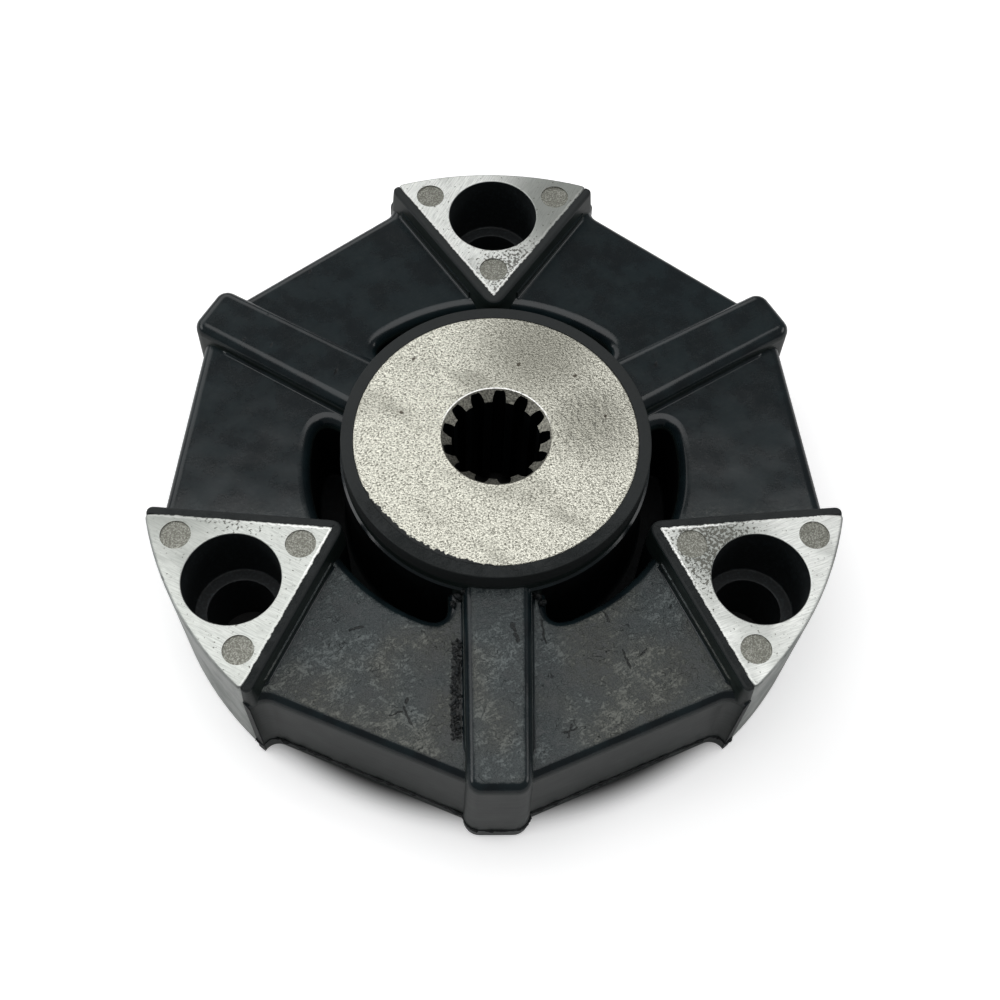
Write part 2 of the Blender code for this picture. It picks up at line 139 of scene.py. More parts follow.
def turned_copy(piece, name, angle):
    """A copy with its own mesh, turned about the shaft axis."""
    bpy.ops.object.select_all(action="DESELECT")
    piece.select_set(True)
    bpy.context.view_layer.objects.active = piece
    bpy.ops.object.duplicate(linked=False)
    copy = bpy.context.object
    copy.name = copy.data.name = name
    copy.rotation_euler.z = angle
    bpy.ops.object.transform_apply(location=True, rotation=True, scale=True)
    return copy


def smooth(piece, degrees):
    """Smooth shading that keeps edges sharper than this, with normals led by the large faces."""
    bpy.ops.object.select_all(action="DESELECT")
    piece.select_set(True)
    bpy.context.view_layer.objects.active = piece
    bpy.ops.object.shade_smooth_by_angle(angle=radians(degrees))
    modifier = piece.modifiers.new("large_faces_lead", "WEIGHTED_NORMAL")
    modifier.keep_sharp = True
    bpy.ops.object.modifier_apply(modifier=modifier.name)


def paint(piece, material, test=None):
    """Gives a material to the faces that pass a test of their middle and normal."""
    piece.data.materials.append(material)
    last = len(piece.data.materials) - 1
    for face in piece.data.polygons:
        if test is None or test(face.center, face.normal):
            face.material_index = last


def flank(along, offset):
    """A point beside an insert's flank: how far along from its apex, and how far out of the metal."""
    x = INSERT_APEX + along * cos(FLANK_ANGLE) - offset * sin(FLANK_ANGLE)
    y = along * sin(FLANK_ANGLE) + offset * cos(FLANK_ANGLE)
    return (x, y)


def wedge(name, radius, offset, low, high):
    """A blank sawn to an insert's wedge, its flanks this far out of the metal."""
    piece = blank(name, radius, low, high)
    for side in (1, -1):
        x, y = flank(0.0, offset)
        saw((x, side * y, 0.0), (-sin(FLANK_ANGLE), side * cos(FLANK_ANGLE), 0.0))
    tip = INSERT_APEX - offset / sin(FLANK_ANGLE)
    pick("EDGE", upright((tip, 0.0)))
    round_off((INSERT_TIP_ROUND + offset) / tan(FLANK_ANGLE), 6)
    return piece


def flank_reach(radius, offset=0.0):
    """How far along the flank, at this offset, a circle about the shaft axis cuts it."""
    side = INSERT_APEX * sin(FLANK_ANGLE) - offset
    return sqrt(radius ** 2 - side ** 2) - INSERT_APEX * cos(FLANK_ANGLE)


def linear(hex_colour):
    """An sRGB hex colour as linear values."""
    parts = [int(hex_colour[i:i + 2], 16) / 255 for i in (1, 3, 5)]
    return tuple(p / 12.92 if p <= 0.04045 else ((p + 0.055) / 1.055) ** 2.4 for p in parts) + (1.0,)


def add(material, kind, *first, output=0, **settings):
    """Adds a node and gives one of its outputs. Its first inputs are set in order, the rest and its
    attributes by name. An input takes a value, a hex colour or the output of another node."""
    node = material.node_tree.nodes.new("ShaderNode" + kind)
    sockets = {socket.identifier: socket for socket in node.inputs}
    for name in settings.keys() - sockets.keys():
        setattr(node, name, settings[name])
    for name, value in [*zip(sockets, first), *settings.items()]:
        if isinstance(value, bpy.types.NodeSocket):
            material.node_tree.links.new(value, sockets[name])
        elif name in sockets:
            sockets[name].default_value = linear(value) if isinstance(value, str) else value
    return node.outputs[output]


# A range that eases in and out, and a mix of two colours
EASED = {"interpolation_type": "SMOOTHSTEP"}
COLOURS = {"data_type": "RGBA", "output": 2}


def new_material(name, roughness, metallic):
    """A material and its shader."""
    material = bpy.data.materials.new(name)
    material.use_nodes = True
    shader = material.node_tree.nodes["Principled BSDF"]
    shader.inputs["Roughness"].default_value = roughness
    shader.inputs["Metallic"].default_value = metallic
    return material, shader


def in_mm(material, turn=0.0, stretch=(1.0, 1.0, 1.0)):
    """Object coordinates in millimetres, turned about the shaft axis, then stretched."""
    place = add(material, "TexCoord", output="Object")
    turned = add(material, "Mapping", place, Rotation=(0.0, 0.0, turn), Scale=(1 / MM, 1 / MM, 1 / MM))
    return add(material, "Mapping", turned, Scale=stretch)


def wire(material, shader, colour, roughness, metallic, normal):
    """Links what the material has worked out to its shader; what is None keeps its even value."""
    outputs = {"Base Color": colour, "Roughness": roughness, "Metallic": metallic, "Normal": normal}
    for name, output in outputs.items():
        if output is not None:
            material.node_tree.links.new(output, shader.inputs[name])


# Times this, a place keeps only where it is in the plan
FLAT = (1.0, 1.0, 0.0)


def spot(material, place, centre, radius, soft):
    """One inside a round area of the plan and nought outside it, with a soft rim."""
    flat = add(material, "VectorMath", place, FLAT, operation="MULTIPLY")
    away = add(material, "VectorMath", flat, (*centre, 0.0), operation="DISTANCE", output="Value")
    return add(material, "MapRange", away, radius - soft, radius + soft, 1.0, 0.0, **EASED)


def grained(name, roughness, metallic, grain, spread, colours, depth):
    """A plain finish whose one grain, so many a millimetre, turns its colour and raises its surface."""
    material, shader = new_material(name, roughness, metallic)
    pattern = add(material, "TexNoise", in_mm(material), **grain)
    share = add(material, "MapRange", pattern, *spread, **EASED)
    colour = add(material, "Mix", share, A_Color=colours[0], B_Color=colours[1], **COLOURS)
    wire(material, shader, colour, None, None, add(material, "Bump", Height=pattern, Distance=depth))
    return material, shader


COUNTERBORE_RADIUS = 10.15 * MM
COUNTERBORE_FLOOR = 17.0 * MM
BOLT_HOLE_RADIUS = 7.3 * MM
PIN_MARK_RADIUS = 3.2 * MM
PIN_MARK_PLACES = ((46.75 * MM, 0.0), (68.1 * MM, 14.7 * MM), (68.1 * MM, -14.7 * MM))
PIN_MARK_DEPTH = 0.3 * MM
BOLT = (BOLT_CIRCLE_RADIUS, 0.0)
CAST_CORNER_TOUCH = 1.23 * MM
CAST_EDGE_ROUND = 0.7 * MM
HOLE_MOUTH_ROUND = 0.3 * MM
HOLE_FLOOR_ROUND = 0.5 * MM


def hole_edge(radius, height):
    """A test for the edge of a bolt hole's step at this radius and height."""
    return lambda middle, along: (
        abs(along.z) < 0.5 and abs(middle.z - height) < SAME_HEIGHT
        and abs(hypot(middle.x - BOLT[0], middle.y) - radius) < 2 * SAME_PLACE
    )


insert = wedge("bolt_insert", COUPLING_RADIUS, 0.0, 0.0, INSERT_HEIGHT)
corner = flank(flank_reach(COUPLING_RADIUS), 0.0)
for side in (1, -1):
    pick("EDGE", upright((corner[0], side * corner[1])))
    round_off(CAST_CORNER_TOUCH, 5)
pick("EDGE", lambda middle, along: (
    abs(along.z) < 0.5 and hypot(middle.x, middle.y) > COUPLING_RADIUS - 1.1 * MM
    and (middle.z > INSERT_HEIGHT - SAME_HEIGHT or middle.z < SAME_HEIGHT)))
round_off(CAST_EDGE_ROUND, 4)
close(insert)
for name, radius, low, high, sides in (
        ("counterbore", COUNTERBORE_RADIUS, COUNTERBORE_FLOOR, TOOL_TOP, 160),
        ("bolt_hole", BOLT_HOLE_RADIUS, TOOL_FOOT, COUNTERBORE_FLOOR + 3 * MM, 128)):
    combine(insert, close(blank(name, radius, low, high, sides, BOLT)), "DIFFERENCE")
bpy.ops.object.mode_set(mode="EDIT")
for radius, height, touch, segments in (
        (COUNTERBORE_RADIUS, INSERT_HEIGHT, HOLE_MOUTH_ROUND, 3),
        (BOLT_HOLE_RADIUS, COUNTERBORE_FLOOR, HOLE_FLOOR_ROUND, 2),
        (COUNTERBORE_RADIUS, COUNTERBORE_FLOOR, HOLE_FLOOR_ROUND, 3)):
    pick("EDGE", hole_edge(radius, height))
    round_off(touch, segments)
close(insert)
for place in PIN_MARK_PLACES:
    mark = close(blank("pin_mark", PIN_MARK_RADIUS, INSERT_HEIGHT - PIN_MARK_DEPTH, TOOL_TOP, 64, place))
    combine(insert, mark, "DIFFERENCE")

# Aluminium casting skin: grey, slightly rough from the die, with soft stains
casting, shader = new_material("cast_aluminium_skin", 0.42, 1.0)
place = in_mm(casting)
stain = add(
    casting, "MapRange", add(casting, "TexNoise", place, Scale=0.12, Detail=4.0), 0.35, 0.65, **EASED
)
drag = add(casting, "TexNoise", in_mm(casting, 0.0, (0.5, 0.5, 3.0)), Scale=0.8, Detail=3.0)
skin_colour = add(casting, "Mix", stain, A_Color="#B0B3B0", B_Color="#9A9E9B", **COLOURS)
skin_colour = add(
    casting, "Mix", add(casting, "MapRange", drag, 0.58, 0.72, 0.0, 0.6, **EASED), A_Color=skin_colour,
    B_Color="#4D504F", **COLOURS
)
wire(
    casting, shader, skin_colour, add(casting, "MapRange", stain, 0.0, 1.0, 0.36, 0.5, **EASED), None,
    add(casting, "Bump", Height=drag, Distance=0.04 * MM)
)

# Ejector pin mark: the mould's own rough face, grey-brown with bright grains, below the sanding
pin_mark, shader = grained(
    "unsanded_pin_mark", 0.5, 1.0, {"Scale": 3.4, "Roughness": 0.6}, (0.42, 0.66),
    ("#75756D", "#A6A79F"), 0.12 * MM)

# Black bonding coat: matt primer that was sprayed into the hole before the rubber was moulded on
bond_coat, shader = grained(
    "black_bonding_coat", 0.6, 0.0, {"Scale": 1.6, "Detail": 3.0}, (0.45, 0.75),
    ("#0D1214", "#222A2D"), 0.05 * MM)
shader.inputs["Specular IOR Level"].default_value = 0.45

# Sanded aluminium: the casting's top taken down by hand on coarse paper. It is bright, with fine
# lines one way, and pitted where the paper missed low places of the casting. How bright each insert
# is, and a greyer area on each, are painted reflection of the sanded sheen.
# Lines drawn 0.4 mm apart, coarser than the paper's 0.1 mm, so that they show.
SANDING = (
    # sanding direction, painted brightness, painted grey reflection's middle and radius, pitted area's middle
    # and radius in mm
    (radians(62), "#F2F4F0", (17.0, 66.0), 15.0, (6.0, 45.0), 9.5),
    (radians(-28), "#D6D9D4", (-66.0, -12.0), 11.0, (-53.0, -9.5), 9.0),
    (radians(20), "#EEF0EC", (47.0, -25.0), 10.0, (45.0, -24.0), 9.0),
)


def sanded_aluminium(number, angle, direction, bright, grey_place, grey_radius, pit_place, pit_radius):
    """An insert's own sanded finish, with black primer left along its flanks in a ragged line, a painted
    highlight just inside it, and painted reflection in its brightness and grey area.
    """
    metal, shader = new_material(f"sanded_aluminium_{number}", 0.45, 1.0)
    place = in_mm(metal)
    lines = add(
        metal, "TexNoise", in_mm(metal, -direction, (0.3, 3.6, 1.0)), Scale=1.0, Detail=4.0,
        Roughness=0.65
    )
    cloud = add(metal, "TexNoise", place, Scale=0.07)
    # Painted reflection: a greyer area and grey clouds, where the sanded sheen would mirror less light
    grey = add(
        metal, "Math", spot(metal, place, grey_place, grey_radius, 0.6 * grey_radius),
        add(metal, "MapRange", cloud, 0.5, 0.72, 0.0, 0.7, **EASED), operation="MAXIMUM"
    )
    colour = add(metal, "Mix", grey, A_Color=bright, B_Color="#A3A6A1", **COLOURS)
    colour = add(
        metal, "Mix", add(metal, "MapRange", lines, 0.35, 0.7, 0.0, 0.4, **EASED), A_Color=colour,
        B_Color="#858985", **COLOURS
    )
    grain = add(metal, "TexNoise", place, Scale=1.5, Detail=3.0, Roughness=0.6)
    pitted = spot(metal, place, pit_place, pit_radius, 0.7 * pit_radius)
    level = add(metal, "Math", pitted, 0.17, grain, operation="MULTIPLY_ADD")
    pits = add(metal, "MapRange", level, 0.64, 0.69, 0.0, 0.85, **EASED)
    colour = add(metal, "Mix", pits, A_Color=colour, B_Color="#55544D", **COLOURS)
    outwards, sideways = add(metal, "SeparateXYZ", in_mm(metal, -angle)).node.outputs[:2]
    wide = add(metal, "Math", sideways, operation="ABSOLUTE")
    from_apex = add(metal, "Math", outwards, INSERT_APEX / MM, operation="SUBTRACT")
    edge = add(
        metal, "Math", add(metal, "Math", from_apex, sin(FLANK_ANGLE), operation="MULTIPLY"),
        add(metal, "Math", wide, cos(FLANK_ANGLE), operation="MULTIPLY"), operation="SUBTRACT"
    )
    uneven = add(metal, "TexNoise", place, Scale=1.1, Detail=4.0, Roughness=0.7)
    ragged = add(metal, "Math", uneven, -0.9, edge, operation="MULTIPLY_ADD")
    smear = add(metal, "MapRange", ragged, -0.34, -0.2, 1.0, 0.0, **EASED)
    colour = add(metal, "Mix", smear, A_Color=colour, B_Color="#14181A", **COLOURS)
    # Painted highlight: a bright line along the edge of the bare metal, just inside the primer, strongest
    # towards the tip
    painted_edge_highlight = add(
        metal, "Math", add(metal, "MapRange", ragged, -0.2, 0.0, **EASED),
        add(metal, "MapRange", ragged, 0.1, 0.35, 1.0, 0.0, **EASED), operation="MULTIPLY"
    )
    near_tip = add(metal, "MapRange", outwards, 47.0, 54.0, 1.0, 0.25, **EASED)
    painted_edge_highlight = add(metal, "Math", painted_edge_highlight, near_tip, operation="MULTIPLY")
    colour = add(metal, "Mix", painted_edge_highlight, A_Color=colour, B_Color="#F4F5F2", **COLOURS)
    height = add(
        metal, "Math", add(metal, "Math", lines, 0.35, operation="MULTIPLY"), pits, operation="SUBTRACT"
    )
    rough = add(metal, "MapRange", grey, 0.0, 1.0, 0.5, 0.4, **EASED)
    rough = add(metal, "Math", smear, 0.2, rough, operation="MULTIPLY_ADD")
    wire(
        metal, shader, colour, rough, add(metal, "MapRange", smear, 0.0, 1.0, 1.0, 0.0, **EASED),
        add(metal, "Bump", Height=height, Distance=0.06 * MM)
    )
    return metal


def in_hole(middle, normal):
    """Walls and floor of the bolt hole, but neither the top nor the foot round it."""
    within = hypot(middle.x - BOLT[0], middle.y) < COUNTERBORE_RADIUS + SAME_PLACE
    return within and normal.z > -0.9 and (normal.z < 0.3 or middle.z < 30 * MM)


paint(insert, casting)
paint(insert, pin_mark, lambda middle, normal: middle.z > INSERT_HEIGHT - 0.5 * MM and any(
    hypot(middle.x - x, middle.y - y) < PIN_MARK_RADIUS + SAME_PLACE for x, y in PIN_MARK_PLACES))
paint(insert, bond_coat, in_hole)
smooth(insert, 35)
for number, angle in enumerate(INSERT_ANGLES, start=1):
    piece = turned_copy(insert, f"sanded_insert_{number}", angle)
    paint(piece, sanded_aluminium(number, angle, *SANDING[number - 1]), lambda middle, normal: (
        normal.z > 0.9 and middle.z > INSERT_HEIGHT - SAME_PLACE))
    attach(piece, "root")
    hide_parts(f"bolt_insert_{number}")
bpy.data.objects.remove(insert)

# Splined hub: an iron casting, shot-blasted and ground lightly on its face, with thirteen involute
# grooves broached through it for the pump's shaft. Its arms lie buried in the rubber's ribs.

HUB_RADIUS = 30.4 * MM
HUB_TOP = 38.2 * MM
HUB_UNDERSIDE = 2.0 * MM
SPLINE_TEETH = 13
TOOTH_TIP_RADIUS = 9.52 * MM
FIRST_GROOVE = radians(85.3)
# Half the width of a groove at each radius, from an involute of 20 degrees pressure angle
GROOVE_HALF_WIDTHS = (
    # radius and half width in mm
    (9.0, 1.36), (9.52, 1.43), (10.1, 1.44), (10.7, 1.29), (11.15, 1.11), (11.4, 0.97), (11.5, 0.7),
)
LEAD_IN_RADIUS = 11.8 * MM
LEAD_IN_DEPTH = 1.7 * MM
FACE_EDGE_TOUCH = 0.4 * MM
# Sides enough for each of the thirteen teeth to have the same facets
BORE_SIDES = 12 * SPLINE_TEETH

hub = blank("ground_hub", HUB_RADIUS, HUB_UNDERSIDE, HUB_TOP)
pick("EDGE", lambda middle, along: abs(along.z) < 0.5)
round_off(FACE_EDGE_TOUCH, 3)
close(hub)
combine(hub, close(blank("bore", TOOTH_TIP_RADIUS, TOOL_FOOT, TOOL_TOP, BORE_SIDES)), "DIFFERENCE")
for groove in range(SPLINE_TEETH):
    bpy.ops.object.select_all(action="DESELECT")
    bpy.ops.mesh.primitive_plane_add(size=1.0, location=(0.0, 0.0, 0.0))
    tool = bpy.context.object
    tool.name = "groove"
    first_radius, first_half = GROOVE_HALF_WIDTHS[0]
    second_radius, second_half = GROOVE_HALF_WIDTHS[1]
    tool.scale = ((second_radius - first_radius) * MM, 2 * first_half * MM, 1.0)
    tool.location = ((first_radius + second_radius) / 2 * MM, 0.0, TOOL_FOOT)
    bpy.ops.object.transform_apply(location=True, rotation=True, scale=True)
    bpy.ops.object.mode_set(mode="EDIT")
    pick("EDGE", lambda middle, along: middle.x > second_radius * MM - SAME_HEIGHT)
    bpy.ops.transform.resize(value=(1.0, second_half / first_half, 1.0), center_override=(0.0, 0.0, 0.0))
    last_radius, last_half = second_radius, second_half
    for radius, half in GROOVE_HALF_WIDTHS[2:]:
        outwards = ((radius - last_radius) * MM, 0.0, 0.0)
        bpy.ops.mesh.extrude_edges_move(TRANSFORM_OT_translate={"value": outwards})
        bpy.ops.transform.resize(value=(1.0, half / last_half, 1.0), center_override=(0.0, 0.0, 0.0))
        last_radius, last_half = radius, half
    bpy.ops.mesh.select_all(action="SELECT")
    bpy.ops.mesh.extrude_region_move(TRANSFORM_OT_translate={"value": (0.0, 0.0, 50 * MM)})
    bpy.ops.mesh.select_all(action="SELECT")
    bpy.ops.mesh.normals_make_consistent(inside=False)
    close(tool)
    tool.rotation_euler.z = FIRST_GROOVE + 2 * pi * groove / SPLINE_TEETH
    bpy.ops.object.transform_apply(location=True, rotation=True, scale=True)
    combine(hub, tool, "DIFFERENCE")
slope = (LEAD_IN_RADIUS - TOOTH_TIP_RADIUS) / LEAD_IN_DEPTH
for mouth, way in ((HUB_TOP, 1), (HUB_UNDERSIDE, -1)):
    reach = 2 * LEAD_IN_DEPTH
    wide = LEAD_IN_RADIUS + slope * LEAD_IN_DEPTH / 2
    narrow = wide - slope * reach
    bpy.ops.object.select_all(action="DESELECT")
    bpy.ops.mesh.primitive_cone_add(
        vertices=BORE_SIDES, radius1=narrow if way == 1 else wide, radius2=wide if way == 1 else narrow,
        depth=reach, location=(0.0, 0.0, mouth - way * LEAD_IN_DEPTH / 2))
    cone = bpy.context.object
    cone.name = "lead_in"
    bpy.ops.object.transform_apply(location=True, rotation=True, scale=True)
    combine(hub, cone, "DIFFERENCE")

# Ground cast iron: the face is shot-blasted, then ground lightly, so it is bright and warm grey with
# a fine sandy grain, chatter ripples right of the bore, and a few dark pores. Its darker areas, at
# the top and right of the bore, are painted shade, and a thin bright arc on the bore's far rim is a
# painted highlight. Grains are drawn 0.5 mm across, coarser than the shot's 0.2 mm, so that they show.
iron, shader = new_material("ground_cast_iron", 0.4, 1.0)
place = in_mm(iron)
sand = add(iron, "TexNoise", place, Scale=3.6, Roughness=0.6)
leather = add(iron, "TexNoise", in_mm(iron, radians(-20), (0.85, 1.2, 1.0)), Scale=2.2)
grain = add(iron, "Math", leather, 0.4, operation="MULTIPLY")
grain = add(iron, "Math", sand, 0.6, grain, operation="MULTIPLY_ADD")
# Painted shade: soft darker areas at the top of the face and right of the bore
cloud = add(iron, "TexNoise", in_mm(iron, radians(25), (0.5, 1.2, 1.0)), Scale=0.09)
painted_face_shade = spot(iron, place, (9.0, 22.0), 12.0, 9.0)
painted_face_shade = add(
    iron, "Math", painted_face_shade, add(iron, "MapRange", cloud, 0.52, 0.75, 0.0, 0.8, **EASED), operation="MAXIMUM"
)
shade_right_of_bore = spot(iron, place, (20.0, 4.0), 9.0, 7.0)
painted_face_shade = add(
    iron, "Math", painted_face_shade, add(iron, "Math", shade_right_of_bore, 0.85, operation="MULTIPLY"), operation="MAXIMUM"
)
face_colour = add(iron, "Mix", painted_face_shade, A_Color="#E6E5D8", B_Color="#A5A499", **COLOURS)
face_colour = add(
    iron, "Mix", add(iron, "MapRange", grain, 0.35, 0.58, 1.0, 0.0, **EASED), A_Color=face_colour,
    B_Color="#6F6E64", **COLOURS
)
ripple = add(iron, "TexNoise", in_mm(iron, radians(-8), (1.0, 0.45, 1.0)), Scale=0.8, Detail=1.0)
chatter = add(iron, "Math", ripple, spot(iron, place, (17.0, 3.0), 8.0, 5.0), operation="MULTIPLY")
pore_place = add(iron, "TexVoronoi", place, Scale=0.16, output="Distance")
pore_shape = add(iron, "Math", sand, 0.09, pore_place, operation="MULTIPLY_ADD")
pores = add(iron, "MapRange", pore_shape, 0.1, 0.13, 0.9, 0.0, **EASED)
face_colour = add(iron, "Mix", pores, A_Color=face_colour, B_Color="#4B453C", **COLOURS)
flat = add(iron, "VectorMath", place, FLAT, operation="MULTIPLY")
from_axis = add(iron, "VectorMath", flat, operation="LENGTH", output="Value")
torn_side = spot(iron, place, (-16.0, -24.0), 14.0, 8.0)
bite = add(iron, "Math", torn_side, 2.2, 0.35, operation="MULTIPLY_ADD")
tear = add(
    iron, "Math", add(iron, "TexNoise", place, Scale=0.9, Detail=3.0, Roughness=0.6), bite,
    operation="MULTIPLY"
)
tear = add(iron, "Math", from_axis, tear, operation="ADD")
rim = add(iron, "MapRange", tear, 30.7, 30.82, **EASED)
# Painted highlight: a thin bright arc on the bore's far rim, on the back half only
at_the_back = add(iron, "MapRange", add(iron, "SeparateXYZ", place, output=1), 2.0, 7.0, **EASED)
painted_rim_highlight = add(iron, "Math", spot(iron, place, (0.0, 0.0), 12.1, 0.1), at_the_back, operation="MULTIPLY")
face_colour = add(iron, "Mix", painted_rim_highlight, A_Color=face_colour, B_Color="#FAFAF6", **COLOURS)
face_colour = add(iron, "Mix", rim, A_Color=face_colour, B_Color="#15191A", **COLOURS)
height = add(iron, "Math", sand, 0.25, leather, operation="MULTIPLY_ADD")
height = add(iron, "Math", chatter, 1.6, height, operation="MULTIPLY_ADD")
rough = add(iron, "MapRange", rim, 0.0, 1.0, 0.4, 0.7, **EASED)
bare = add(iron, "MapRange", rim, 0.0, 1.0, 1.0, 0.0, **EASED)
wire(iron, shader, face_colour, rough, bare, add(iron, "Bump", Height=height, Distance=0.2 * MM))

# Turned cast iron: the lead-in cones and the hub's lower face, mid-grey with faint tool marks, its grey
# darkened as painted shade for the dark that the cones mirror
turned_iron, shader = grained(
    "turned_cast_iron", 0.45, 1.0, {"Scale": 2.5}, (0.35, 0.65), ("#64635D", "#96958B"), 0.1 * MM)

# Bore steel: the broached grooves are painted near black as the shade down the bore, and only glint along
# their length
bore_in_painted_shade, shader = new_material("bore_steel_in_painted_shade", 0.38, 0.0)
drag = add(bore_in_painted_shade, "TexNoise", in_mm(bore_in_painted_shade, 0.0, (2.0, 2.0, 0.1)), Scale=1.0)
shader.inputs["Specular IOR Level"].default_value = 0.2
colour = add(bore_in_painted_shade, "Mix", drag, A_Color="#030405", B_Color="#0D1012", **COLOURS)
wire(bore_in_painted_shade, shader, colour, None, None, add(bore_in_painted_shade, "Bump", Height=drag, Distance=0.05 * MM))
paint(hub, bore_in_painted_shade)
paint(hub, turned_iron, lambda middle, normal: 0.2 < normal.z < 0.98)
paint(hub, iron, lambda middle, normal: (
    normal.z > 0.05 and middle.z > HUB_TOP - 0.5 * MM
    and (normal.z > 0.98 or hypot(middle.x, middle.y) > 28 * MM)))
paint(hub, turned_iron, lambda middle, normal: normal.z < -0.2)
smooth(hub, 30)
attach(hub, "root")
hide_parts("splined_hub")

# Rubber moulding: one piece of black compression-moulded rubber, vulcanised on the metal. It has
# six blocks, three ribs over the hub's arms, a ring round the hub with a moat round it, and a
# skin round each insert. The mould parts 6 mm above the underside and leaves a ragged flash.

RIB_ANGLES = (radians(30), radians(150), radians(270))
UNDERSIDE = 0.8 * MM
PARTING = 6.0 * MM
# The moulding's walls are drawn up from the parting and down from a band just under it
BAND_FOOT = PARTING - 1.0 * MM
# Every wall leans in by this over its height, so that the part leaves the mould
DRAFT = 0.4 * MM
# Faces of bodies that are joined are kept this far out of one plane
STEP_APART = 0.05 * MM
RIB_FOOT_LIFT = 0.06 * MM
SKIN_FOOT_LIFT = 0.12 * MM
# The rubber reaches this far into the metal that it is bonded to
BOND_OVERLAP = 0.03 * MM
# A blank wider than the part, to saw an outline from
WIDE, WIDE_SIDES = 95.0 * MM, 64
BLOCK_TOP = 28.5 * MM
BLOCK_WALL_TURN = radians(23)
BLOCK_WALL = COUPLING_RADIUS * cos(BLOCK_WALL_TURN)
BLOCK_EDGE_ROUND = 2.6 * MM
BLOCK_FOOT_ROUND = 1.2 * MM
LIP_RADIUS = 75.4 * MM
LIP_SIDE = 2.0 * MM
LIP_HOLLOW = 3.0 * MM
RIB_ROOT = 28.0 * MM
RIB_END = 75.6 * MM
RIB_TOP = 32.5 * MM
RIB_ROOT_HALF = 7.6 * MM
RIB_TIP_HALF = 6.9 * MM
RIB_CORNER_TOUCH = 3.4 * MM
RIB_EDGE_ROUND = 2.6 * MM
RIB_FILLET_WIDTH = 0.6 * MM
RIB_FOOT_ROUND = 1.0 * MM
SKIN_WALL = 2.45 * MM
SKIN_NOSE_TOUCH = 2.8 * MM
SKIN_EDGE_ROUND = 0.9 * MM
SKIN_FOOT_ROUND = 0.5 * MM
SKIN_FILLET_RADIUS = 71.0 * MM
SKIN_FILLET_NOSE_TOUCH = 2.4 * MM
RING_RADIUS = 33.0 * MM
RING_STEP = 31.0 * MM
RING_FILLET = 1.2 * MM
MOAT_RADIUS = 40.3 * MM
MOAT_END = 10.2 * MM
MOAT_FLOOR = 5.0 * MM
MOAT_RIM_ROUND = 2.6 * MM
MOAT_CORNER_TOUCH = 7.6 * MM
MOAT_FLOOR_ROUND = 1.0 * MM


def shape_face(height, facing, steps):
    """Takes the face at this height up (1) or down (-1), through steps of how far in and how far along."""
    pick("FACE", lambda middle, normal: abs(middle.z - height) < SAME_HEIGHT and normal.z * facing > 0.9)
    for thickness, depth in steps:
        if thickness == 0.0:
            bpy.ops.mesh.extrude_region_move(TRANSFORM_OT_translate={"value": (0.0, 0.0, facing * depth)})
        else:
            bpy.ops.mesh.inset(thickness=thickness, depth=depth, use_even_offset=True)


def round_steps(radius, count):
    """From a wall over a rounded edge on to the flat face."""
    turns = [pi / 2 * i / count for i in range(count + 1)]
    return [(radius * (cos(a) - cos(b)), radius * (sin(b) - sin(a))) for a, b in zip(turns, turns[1:])]


def fillet_steps(radius, count):
    """From a flat face up a hollow fillet on to a wall."""
    turns = [pi / 2 * i / count for i in range(count + 1)]
    return [(radius * (sin(b) - sin(a)), radius * (cos(a) - cos(b))) for a, b in zip(turns, turns[1:])]


def at_every_insert(place):
    """A place on one flank of an insert, and its mirror image, at all three inserts."""
    x, y = place
    return [(x * cos(angle) - side * y * sin(angle), x * sin(angle) + side * y * cos(angle))
            for angle in INSERT_ANGLES for side in (1, -1)]


blocks = blank("rubber_moulding", WIDE, BAND_FOOT, PARTING, WIDE_SIDES)
for rib in RIB_ANGLES:
    for side in (1, -1):
        turn = rib + side * BLOCK_WALL_TURN
        saw((BLOCK_WALL * cos(turn), BLOCK_WALL * sin(turn), 0.0), (cos(turn), sin(turn), 0.0))
close(blocks)
lip = blank("lip", WIDE, BAND_FOOT, PARTING, WIDE_SIDES)
for side in (1, -1):
    x, y = flank(0.0, LIP_SIDE)
    saw((x, side * y, 0.0), (-sin(FLANK_ANGLE), side * cos(FLANK_ANGLE), 0.0))
for end, facing in ((60 * MM, -1.0), (90 * MM, 1.0)):
    saw((end, 0.0, 0.0), (facing, 0.0, 0.0))
close(lip)
for angle in INSERT_ANGLES:
    combine(blocks, turned_copy(lip, "lip_copy", angle), "UNION")
bpy.data.objects.remove(lip)

# The hollow corners where the lips' sides meet the blocks' walls, found on insert 1's flank
bpy.ops.object.mode_set(mode="EDIT")
wall_turn = radians(60) - BLOCK_WALL_TURN
x, y = flank(0.0, LIP_SIDE)
gap = BLOCK_WALL - x * cos(wall_turn) - y * sin(wall_turn)
hollows = at_every_insert(flank(gap / cos(wall_turn - FLANK_ANGLE), LIP_SIDE))
pick("EDGE", lambda middle, along: abs(along.z) > 0.99 and any(
    hypot(middle.x - place[0], middle.y - place[1]) < 2 * SAME_PLACE for place in hollows))
round_off(LIP_HOLLOW, 8)
shape_face(PARTING, 1, [(DRAFT, BLOCK_TOP - BLOCK_EDGE_ROUND - PARTING)] + round_steps(BLOCK_EDGE_ROUND, 8))
shape_face(BAND_FOOT, -1, [(0.0, BAND_FOOT - UNDERSIDE - BLOCK_FOOT_ROUND)]
           + round_steps(BLOCK_FOOT_ROUND, 5))
close(blocks)
combine(blocks, close(blank("outer_turn", LIP_RADIUS, TOOL_FOOT, 60 * MM)), "INTERSECT")

